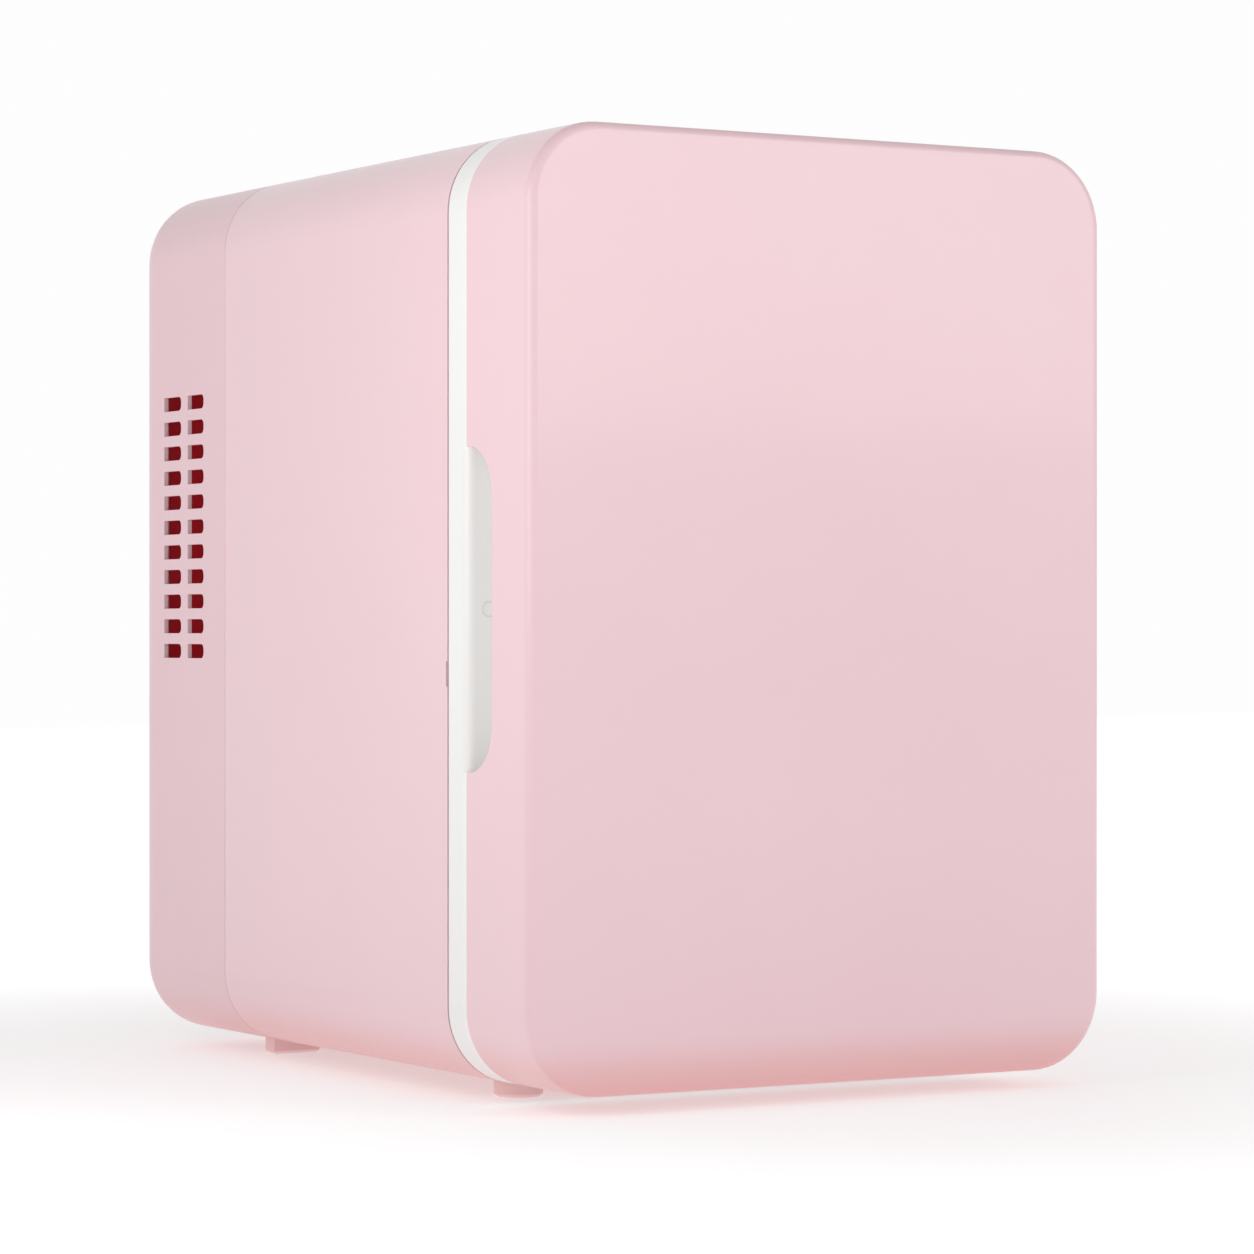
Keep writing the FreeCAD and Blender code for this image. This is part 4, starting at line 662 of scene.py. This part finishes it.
def rounded_loop(mesh: bmesh.types.BMesh, across: float, rise: float, radius: float, depth: float,
                 middle: float,
                 steps: int = 8) -> list[bmesh.types.BMVert]:
    """Add an upright rounded rectangle of vertices.

    Args:
        mesh: the shape that takes it.
        across: half its width.
        rise: half its height.
        radius: its corner radius.
        depth: its place along Y.
        middle: the height of its centre.
        steps: the steps round each corner.

    Returns:
        Its vertices in order.
    """
    loop = []
    for corner, (a, b) in enumerate(((1, 1), (-1, 1), (-1, -1), (1, -1))):
        for step in range(steps + 1):
            angle = math.radians(90) * (corner + step / steps)
            loop.append(mesh.verts.new((a * (across - radius) + radius * math.cos(angle), depth,
                                        middle + b * (rise - radius) + radius * math.sin(angle))))
    return loop


def bridge(mesh: bmesh.types.BMesh, loops: Sequence[list[bmesh.types.BMVert]], closed: bool = False) -> None:
    """Skin between loops of equal length, and from the last to the first where they close."""
    pairs = list(zip(loops, loops[1:])) + ([(loops[-1], loops[0])] if closed else [])
    for first, second in pairs:
        for item in range(len(first)):
            after = (item + 1) % len(first)
            mesh.faces.new((first[item], first[after], second[after], second[item]))


def lid(mesh: bmesh.types.BMesh, *loops: list[bmesh.types.BMVert]) -> None:
    """Fill a flat face bounded by the first loop, less the others."""
    edges = []
    for loop in loops:
        for pair in zip(loop, loop[1:] + loop[:1]):
            edges.append(mesh.edges.get(pair) or mesh.edges.new(pair))
    bmesh.ops.triangle_fill(mesh, use_beauty=True, use_dissolve=False, edges=edges)


def place(mesh: bmesh.types.BMesh, before: set, matrix: Matrix) -> None:
    """Move what was added since the vertices in before were listed."""
    bmesh.ops.transform(mesh, matrix=matrix, verts=[vert for vert in mesh.verts if vert not in before])


def dress(frame: dict, nodes: dict[str, str], finishes: Finishes) -> None:
    """Give frame nodes their finish.

    Args:
        frame: the loaded frame.
        nodes: node name to finish name.
        finishes: the made finishes.
    """
    for node, finish in nodes.items():
        data = frame["nodes"][node].data
        data.materials.clear()
        data.materials.append(finishes[finish])
        LOG.info("%s: %s", node, finish)


# ------------------------------------------------------------------------------------------ studio
@dataclass
class Studio:
    """A pale floor, even white light and the camera in front of the door's left edge."""

    camera_spot: tuple[float, float, float] = (-0.6109, -1.0678, 0.1228)
    look_angle: float = math.radians(30.18)
    lens: float = 124.65
    rise: float = 0.0024
    floor_side: float = 8.0
    key_spot: tuple[float, float, float] = (1.1, -1.7, 0.75)
    key_side: float = 1.0
    key_power: float = 8.4
    side_spot: tuple[float, float, float] = (-0.34, -0.17, 0.22)
    side_side: float = 0.2
    side_power: float = 0.25
    aim: tuple[float, float, float] = (0.0, 0.0, 0.12)
    back_light: float = 0.985
    room_light: float = 0.54
    floor_glow: float = 0.60
    # painted shadow: the floor's lower emission near the fridge
    painted_shadow_glow: float = 0.40
    floor_tone: float = 0.72
    # painted shadow: the distances over which the floor's emission rises from the shadow level to floor_glow
    painted_shadow_reach: tuple[float, float] = (0.15, 0.42)
    sky_fade: tuple[float, float] = (0.5, 0.75)

    def build(self) -> None:
        """Build the floor, the lights, the sky and the camera."""
        self._floor()
        self._sky()
        self._lamp("key", self.key_spot, self.key_side, self.key_power)
        self._lamp("side", self.side_spot, self.side_side, self.side_power)
        camera = bpy.data.cameras.new("camera")
        camera.lens = self.lens
        camera.sensor_width = 36.0
        camera.shift_y = self.rise
        camera.clip_start = 0.01
        rig = bpy.data.objects.new("camera", camera)
        rig.location = self.camera_spot
        rig.rotation_euler = (math.radians(90), 0, -self.look_angle)
        bpy.context.scene.collection.objects.link(rig)
        bpy.context.scene.camera = rig
        bpy.context.scene.view_settings.view_transform = "Standard"

    def _floor(self) -> None:
        """A plain pale floor whose emission keeps it white far off; near the fridge the emission is lower, a
        painted shadow round its base.
        """
        mesh = bmesh.new()
        bmesh.ops.create_grid(mesh, x_segments=2, y_segments=2, size=self.floor_side / 2)
        data = bpy.data.meshes.new("floor")
        mesh.to_mesh(data)
        mesh.free()
        floor = bpy.data.objects.new("floor", data)
        bpy.context.scene.collection.objects.link(floor)
        material = bpy.data.materials.new("floor")
        material.use_nodes = True
        shader = material.node_tree.nodes["Principled BSDF"]
        shader.inputs["Base Color"].default_value = (self.floor_tone,) * 3 + (1,)
        shader.inputs["Roughness"].default_value = 0.9
        shader.inputs["Specular IOR Level"].default_value = 0.0
        shader.inputs["Emission Color"].default_value = (1, 1, 1, 1)
        coords = material.node_tree.nodes.new("ShaderNodeTexCoord")
        reach = material.node_tree.nodes.new("ShaderNodeVectorMath")
        reach.operation = "LENGTH"
        fade = material.node_tree.nodes.new("ShaderNodeMapRange")
        fade.interpolation_type = "SMOOTHSTEP"
        fade.inputs["From Min"].default_value = self.painted_shadow_reach[0]
        fade.inputs["From Max"].default_value = self.painted_shadow_reach[1]
        # painted shadow: less emission near the fridge
        fade.inputs["To Min"].default_value = self.painted_shadow_glow
        fade.inputs["To Max"].default_value = self.floor_glow
        material.node_tree.links.new(coords.outputs["Object"], reach.inputs[0])
        material.node_tree.links.new(reach.outputs["Value"], fade.inputs["Value"])
        material.node_tree.links.new(fade.outputs["Result"], shader.inputs["Emission Strength"])
        data.materials.append(material)

    def _sky(self) -> None:
        """White light from all round, strongest from behind the fridge."""
        world = bpy.data.worlds.new("sky")
        world.use_nodes = True
        tree = world.node_tree
        sky = tree.nodes["Background"]
        sky.inputs["Color"].default_value = (1.0, 1.0, 1.0, 1)
        place = tree.nodes.new("ShaderNodeTexCoord")
        split = tree.nodes.new("ShaderNodeSeparateXYZ")
        fade = tree.nodes.new("ShaderNodeMapRange")
        fade.interpolation_type = "SMOOTHSTEP"
        fade.inputs["From Min"].default_value = self.sky_fade[0]
        fade.inputs["From Max"].default_value = self.sky_fade[1]
        fade.inputs["To Min"].default_value = self.room_light
        fade.inputs["To Max"].default_value = self.back_light
        tree.links.new(place.outputs["Generated"], split.inputs["Vector"])
        tree.links.new(split.outputs["Y"], fade.inputs["Value"])
        tree.links.new(fade.outputs["Result"], sky.inputs["Strength"])
        bpy.context.scene.world = world

    def _lamp(self, name: str, spot: tuple[float, float, float], side: float, power: float) -> None:
        """Add a square soft lamp aimed at the middle of the fridge."""
        light = bpy.data.lights.new(name, "AREA")
        light.size = side
        light.energy = power
        lamp = bpy.data.objects.new(name, light)
        lamp.location = spot
        lamp.rotation_euler = (Vector(self.aim) - Vector(spot)).to_track_quat("-Z", "Y").to_euler()
        bpy.context.scene.collection.objects.link(lamp)


# ------------------------------------------------------------------------------------------ finer pieces
@dataclass
class Screw:
    """A pan head screw with a cross recess, driven towards -Y. Sizes in millimetres."""

    length: float
    shank: float = 3.0
    head: float = 6.0
    rise: float = 2.2
    pitch: float = 1.0
    root: float = 1.15
    steps: int = 28

    def add(self, mesh: bmesh.types.BMesh, spot: tuple[float, float, float], turn: float) -> None:
        """Add the screw.

        Args:
            mesh: the shape that takes it.
            spot: where its head seats, in millimetres.
            turn: how far its cross is turned, in degrees.
        """
        before = set(mesh.verts)
        half, crest = self.head / 2, self.shank / 2 - 0.02
        profile = [(0.4, -self.length)]
        level = -self.length + self.pitch / 2
        while level < -self.pitch:
            profile += [(self.root, level), (crest, level + self.pitch / 2)]
            level += self.pitch
        profile += [(crest, -0.3), (crest, 0.0), (half, 0.0), (half, self.rise * 0.3),
                    (half * 0.95, self.rise * 0.62),
                    (half * 0.82, self.rise * 0.88), (half * 0.66, self.rise)]
        loops = [ring(mesh, radius, height, self.steps) for radius, height in profile]
        bridge(mesh, loops)
        lid(mesh, loops[0])
        upper, lower = self._cross(mesh, 1.0, self.rise), self._cross(mesh, 0.62, self.rise * 0.42)
        lid(mesh, loops[-1], upper)
        bridge(mesh, [upper, lower])
        lid(mesh, lower)
        place(mesh, before, Matrix.Translation(Vector(spot) * MM) @ Axis.Y.value
              @ Matrix.Rotation(math.radians(turn), 4, "Z") @ Matrix.Scale(MM, 4))

    def _cross(self, mesh: bmesh.types.BMesh, share: float, height: float) -> list[bmesh.types.BMVert]:
        """Add the outline of the cross recess at one depth."""
        arm, width = self.head * 0.27 * share, self.head * 0.065 * share
        points = []
        for quarter in range(4):
            angle = math.radians(90) * quarter
            for x, y in ((arm, -width), (arm, width), (width, width)):
                points.append((x * math.cos(angle) - y * math.sin(angle), x * math.sin(angle) + y
                               * math.cos(angle)))
        return [mesh.verts.new((x, y, height)) for x, y in points]


@dataclass
class Fasteners:
    """The four sets of screws. Sizes in millimetres."""

    middle: float = 128.0
    vent: float = 152.7
    board: float = 48.0
    sets: dict = field(default_factory=lambda: {
        "cover_screws": (66.0, 101.0, "middle", 68.0, 11.0), "heat_sink_screws": (51.5, 55.5, "vent", 72.8,
                                                                                  10.8),
        "fan_screws": (35.75, 35.75, "vent", 108.4, 21.0), "board_screws": (42.0, 23.0, "board", 71.6, 1.6)})

    def build(self, finishes: Finishes) -> None:
        """Build each set as one piece that stands for its node."""
        for name, (across, rise, level, seat, length) in self.sets.items():
            mesh = bmesh.new()
            screw = Screw(length)
            for item, (a, b) in enumerate(((-1, -1), (-1, 1), (1, -1), (1, 1))):
                screw.add(mesh, (a * across, seat, getattr(self, level) + b * rise), 23.0 + 37.0 * item)
            finish_piece(name + "_fine", mesh, finishes["zinc_steel"], "cabinet", (name,))


@dataclass
class Rotor:
    """The fan's hub, shaft and swept blades. Sizes in millimetres."""

    centre: float = 152.7
    front: float = 94.4
    depth: float = 10.6
    hub: float = 15.0
    tip: float = 36.4
    blades: int = 7
    sweep: float = 14.0
    chord: float = 33.0
    thickness: float = 1.1

    def build(self, finishes: Finishes) -> None:
        """Build the rotor as one piece that stands for its node."""
        mesh = bmesh.new()
        spot = Vector((0, self.front, self.centre)) * MM
        profile = [(0, 0), (self.hub - 1.6, 0), (self.hub - 0.5, 0.5), (self.hub, 1.6),
                   (self.hub, self.depth),
                   (self.hub - 2.2, self.depth), (self.hub - 2.4, self.depth - 1.0), (3.2, self.depth - 1.0),
                   (3.0, self.depth), (1.5, self.depth), (1.5, self.depth + 2.9), (0, self.depth + 2.9)]
        turned(mesh, spot, Axis.Y, [(radius * MM, height * MM) for radius, height in profile], 56)
        for blade in range(self.blades):
            self._blade(mesh, 360.0 * blade / self.blades)
        finish_piece("fan_rotor_fine", mesh, finishes["fan_black"], "fan", ("fan_rotor",))

    def _blade(self, mesh: bmesh.types.BMesh, start: float, rows: int = 9, columns: int = 10) -> None:
        """Add one blade: a swept, cambered sheet with two faces and a closed rim."""
        sides = []
        for face in (-1, 1):
            grid = []
            for row in range(rows + 1):
                part = row / rows
                radius = self.hub - 1.0 + (self.tip - self.hub + 1.0) * part
                width = self.chord * (1.0 - 0.14 * part) * (1.0 - 0.22 * max(0.0, part - 0.86) / 0.14)
                line = []
                for column in range(columns + 1):
                    along = column / columns
                    angle = math.radians(start + self.sweep * part ** 1.3 + width * (along - 0.5))
                    rise = 1.4 + (self.depth - 2.8) * along + 0.7 * math.sin(math.pi * along)
                    edge = min(1.0, 4.0 * min(along, 1.0 - along) + 0.35)
                    depth = self.front + rise - 0.35 + face * self.thickness / 2 * edge
                    line.append(mesh.verts.new(Vector((radius * math.cos(angle), depth,
                                                       self.centre + radius * math.sin(angle))) * MM))
                grid.append(line)
            sides.append(grid)
            for low, high in zip(grid, grid[1:]):
                for item in range(columns):
                    mesh.faces.new((low[item], low[item + 1], high[item + 1], high[item]))
        rims = [grid[0] + [line[-1] for line in grid[1:]] + grid[-1][-2::-1]
                + [line[0] for line in grid[-2:0:-1]]
                for grid in sides]
        bridge(mesh, rims)


@dataclass
class Gasket:
    """The door's soft seal: a hollow looking bellows with two lips. Sizes in millimetres."""

    across: float = 77.8
    rise: float = 112.8
    radius: float = 10.3
    width: float = 5.6
    back: float = -79.3
    face: float = -76.65
    middle: float = 128.0

    def build(self, finishes: Finishes) -> None:
        """Sweep the bellows section round the door."""
        tall = self.face - self.back
        section = [(0.0, 0.0), (1.0, 0.0), (1.0, 0.42), (0.86, 0.56), (0.97, 0.74), (0.9, 0.93), (0.74, 1.0),
                   (0.6, 0.9), (0.5, 0.86), (0.4, 0.9), (0.26, 1.0), (0.1, 0.93), (0.03, 0.74), (0.14, 0.56),
                   (0.0, 0.42)]
        mesh = bmesh.new()
        loops = []
        for inset, height in section:
            step = inset * self.width
            loops.append(rounded_loop(mesh, (self.across - step) * MM, (self.rise - step) * MM,
                                      (self.radius - step) * MM,
                                      (self.back + height * tall) * MM, self.middle * MM, 10))
        bridge(mesh, loops, closed=True)
        finish_piece("door_gasket_fine", mesh, finishes["seal_grey"], "door", ("door_gasket",))


@dataclass
class CarryHandle:
    """The folding handle: a soft edged strap bent to a U, with a bored eye at each end. Sizes in
    millimetres."""

    half: float = 59.4
    bar: float = 9.0
    thickness: float = 7.2
    pivot: float = 15.8
    level: float = 247.0
    reach: float = 29.0
    bend: float = 6.0
    bore: float = 4.6

    def build(self, finishes: Finishes) -> None:
        """Sweep the strap and add its eyes."""
        mesh = bmesh.new()
        inner = self.half - self.bar / 2
        front = self.pivot - self.reach
        path = [((-inner, self.pivot - self.thickness / 2 + 0.6), -90.0), ((-inner, self.pivot - 9.0), -90.0)]
        for hand, first in ((-1, -90.0), (1, 0.0)):
            for step in range(9):
                angle = first + 90.0 * step / 8
                turn = math.radians(angle - 90.0)
                centre = (hand * (inner - self.bend), front + self.bend)
                path.append(((centre[0] + self.bend * math.cos(turn), centre[1] + self.bend * math.sin(turn)),
                             angle))
        path += [((inner, self.pivot - 9.0), 90.0), ((inner, self.pivot - self.thickness / 2 + 0.6), 90.0)]
        loops = [self._section(mesh, spot, angle) for spot, angle in path]
        bridge(mesh, loops)
        lid(mesh, loops[0])
        lid(mesh, loops[-1])
        outer, hole = self.thickness / 2, self.bore / 2
        eye = [(hole, 0), (outer - 0.4, 0), (outer, 0.4), (outer, self.bar - 0.4), (outer - 0.4, self.bar),
               (hole, self.bar), (hole, 0)]
        for start in (-self.half, self.half - self.bar):
            turned(mesh, Vector((start, self.pivot, self.level)) * MM, Axis.X,
                   [(a * MM, b * MM) for a, b in eye], 40)
        finish_piece("carry_handle_fine", mesh, finishes["grip_pink"], "handle",
                     ("carry_handle",))

    def _section(self, mesh: bmesh.types.BMesh, spot: tuple[float, float],
                 angle: float) -> list[bmesh.types.BMVert]:
        """Add the strap's section across its path."""
        heading = math.radians(angle)
        side = Vector((-math.sin(heading), math.cos(heading), 0))
        loop = []
        for step in range(24):
            round_it = math.tau * step / 24
            across = math.copysign(abs(math.cos(round_it)) ** 0.5, math.cos(round_it)) * self.bar / 2
            rise = math.copysign(abs(math.sin(round_it)) ** 0.5, math.sin(round_it)) * self.thickness / 2
            loop.append(mesh.verts.new((Vector((*spot, self.level)) + side * across + Vector((0, 0, rise)))
                                       * MM))
        return loop


@dataclass
class BoardParts:
    """The power board's parts. Sizes in millimetres."""

    face: float = 71.6
    level: float = 48.0

    def build(self, finishes: Finishes) -> None:
        """Build the coil, the capacitors and the small parts."""
        self._coil(finishes)
        self._capacitors(finishes)
        self._small(finishes)

    def _box(self, mesh: bmesh.types.BMesh, x: tuple[float, float], y: tuple[float, float],
             z: tuple[float, float],
             bevel: float) -> None:
        """Add a bevelled block standing off the board."""
        block(mesh, [v * MM for v in (x[0], self.face + y[0], z[0])],
              [v * MM for v in (x[1], self.face + y[1], z[1])],
              bevel * MM, 3)

    def _coil(self, finishes: Finishes) -> None:
        """The transformer: a laminated core round a taped winding."""
        core = bmesh.new()
        for plate in range(9):
            low = self.level - 7.2 + plate * 1.6
            self._box(core, (-27.0, 3.0), (1.2, 20.0), (low, low + 1.5), 0.12)
        finish_piece("transformer_core", core, finishes["core_steel"], "cabinet",
                     ("transformer",))
        tape = bmesh.new()
        self._box(tape, (-22.6, -1.4), (2.0, 19.2), (self.level - 12.4, self.level - 7.4), 1.8)
        self._box(tape, (-22.6, -1.4), (2.0, 19.2), (self.level + 7.4, self.level + 12.4), 1.8)
        finish_piece("transformer_tape", tape, finishes["tape_yellow"], "cabinet")
        bobbin = bmesh.new()
        for low in (self.level - 13.0, self.level + 12.2):
            self._box(bobbin, (-24.0, 0.0), (0.0, 19.8), (low, low + 0.8), 0.2)
        finish_piece("transformer_bobbin", bobbin, finishes["part_black"], "cabinet")

    def _capacitors(self, finishes: Finishes) -> None:
        """Two electrolytic capacitors: a crimped sleeve with a bare scored top."""
        sleeve, top = bmesh.new(), bmesh.new()
        for across in (10.7, 25.7):
            spot = Vector((across, self.face, self.level - 11.6)) * MM
            profile = [(0, 0), (5.5, 0), (6.0, 0.5), (6.0, 2.2), (5.6, 2.8), (6.0, 3.4), (6.0, 19.0),
                       (5.7, 19.7),
                       (5.1, 19.8), (5.0, 19.5), (0, 19.5)]
            turned(sleeve, spot, Axis.Y, [(a * MM, b * MM) for a, b in profile], 40)
            disc = [(0, 19.5), (4.9, 19.5), (4.95, 19.8), (4.6, 20.0), (0, 20.0)]
            turned(top, spot, Axis.Y, [(a * MM, b * MM) for a, b in disc], 40)
        finish_piece("capacitor_sleeves", sleeve, finishes["sleeve_blue"], "cabinet",
                     ("capacitors",))
        finish_piece("capacitor_tops", top, finishes["alloy"], "cabinet")

    def _small(self, finishes: Finishes) -> None:
        """Chips, resistors and the sockets that the leads plug into."""
        chips, sockets, bodies = bmesh.new(), bmesh.new(), bmesh.new()
        for x, z, wide, tall in ((-32, 0, 6, 10), (36, -16, 7, 5), (-4, 21, 12, 5), (38, 4, 5, 8)):
            self._box(chips, (x - wide / 2, x + wide / 2), (0.4, 2.6),
                      (self.level + z - tall / 2, self.level + z + tall / 2),
                      0.25)
        for x, z in ((20.0, 10.0), (34.0, 14.0)):
            self._box(sockets, (x - 4.2, x + 4.2), (0.0, 5.2), (self.level + z - 3.4, self.level + z + 3.4),
                      0.4)
        for item in range(5):
            spot = Vector((-34.0 + 5.0 * item, self.face + 1.6, self.level + 18.0)) * MM
            profile = [(0, -3.2), (0.8, -3.2), (1.15, -2.8), (1.15, -1.8), (0.9, -1.4), (0.9, 1.4),
                       (1.15, 1.8),
                       (1.15, 2.8), (0.8, 3.2), (0, 3.2)]
            turned(bodies, spot, Axis.Z, [(a * MM, b * MM) for a, b in profile], 20)
        finish_piece("board_chips", chips, finishes["part_black"], "cabinet")
        finish_piece("board_sockets", sockets, finishes["connector_cream"], "cabinet")
        finish_piece("board_resistors", bodies, finishes["tape_yellow"], "cabinet")


@dataclass
class GripMark:
    """The moulding mark on the wall of the door's grip. Sizes in millimetres."""

    spot: tuple[float, float, float] = (-81.5, -87.0, 128.2)
    radius: float = 1.9

    def build(self, finishes: Finishes) -> None:
        """Add a faint raised ring that faces -Y."""
        mesh = bmesh.new()
        profile = [(self.radius - 0.22, -0.05), (self.radius - 0.14, 0.09), (self.radius + 0.14, 0.09),
                   (self.radius + 0.22, -0.05), (self.radius - 0.22, -0.05)]
        before = set(mesh.verts)
        turned(mesh, Vector((0, 0, 0)), Axis.Z, [(a * MM, b * MM) for a, b in profile], 48)
        place(mesh, before, Matrix.Translation(Vector(self.spot) * MM) @ Matrix.Rotation(math.radians(90), 4,
                                                                                         "X"))
        finish_piece("grip_mark", mesh, finishes["mark_white"], "door")


# ------------------------------------------------------------------------------------------ the fridge
FRAME_FINISHES = {
    "outer_shell": "shell_pink", "front_frame": "frame_white", "inner_liner": "liner_white",
    "cabinet_foam": "board_foam", "rear_bulkhead": "frame_white", "rear_cover": "cover_pink",
    "foot_front_left": "foot_pink", "foot_front_right": "foot_pink", "foot_rear_left": "foot_pink",
    "foot_rear_right": "foot_pink", "cold_plate": "plate_alloy", "cold_block": "alloy",
    "peltier_module": "ceramic_white", "module_gasket": "seal_foam", "heat_sink": "alloy",
    "heat_sink_screws": "zinc_steel", "cover_screws": "zinc_steel", "fan_frame": "fan_black",
    "fan_screws": "zinc_steel", "control_panel": "panel_grey", "lamp_red": "lens_red",
    "lamp_green": "lens_green", "mains_inlet": "part_black", "mains_pins": "contact_brass",
    "dc_inlet": "part_black", "dc_pin": "contact_brass", "switch_housing": "part_black",
    "power_board": "board_green", "board_spacers": "contact_brass", "board_screws": "zinc_steel",
    "transformer": "core_steel", "capacitors": "sleeve_blue", "module_lead": "lead_red",
    "fan_lead": "lead_black", "mains_lead": "lead_black", "strike_plate": "zinc_steel",
    "hinge_pin_lower": "zinc_steel", "hinge_pin_upper": "zinc_steel", "handle_well": "shell_pink",
    "handle_pin_left": "zinc_steel", "handle_pin_right": "zinc_steel", "door_cap": "shell_pink",
    "door_liner": "door_white", "door_foam": "board_foam", "door_gasket": "seal_grey",
    "door_magnet": "magnet_dark", "door_basket": "basket_clear", "shelf": "shelf_white",
    "fan_rotor": "fan_black", "carry_handle": "grip_pink", "switch_rocker": "rocker_black",
}


def main() -> None:
    """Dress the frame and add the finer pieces."""
    logging.basicConfig(level=logging.INFO, format="%(message)s")
    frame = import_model()
    finishes = Finishes()
    finishes.paint_grip_light()
    dress(frame, FRAME_FINISHES, finishes)
    for part in (Fasteners(), Rotor(), Gasket(), CarryHandle(), BoardParts(), GripMark()):
        part.build(finishes)
    Studio().build()


if __name__ == "__main__":
    main()
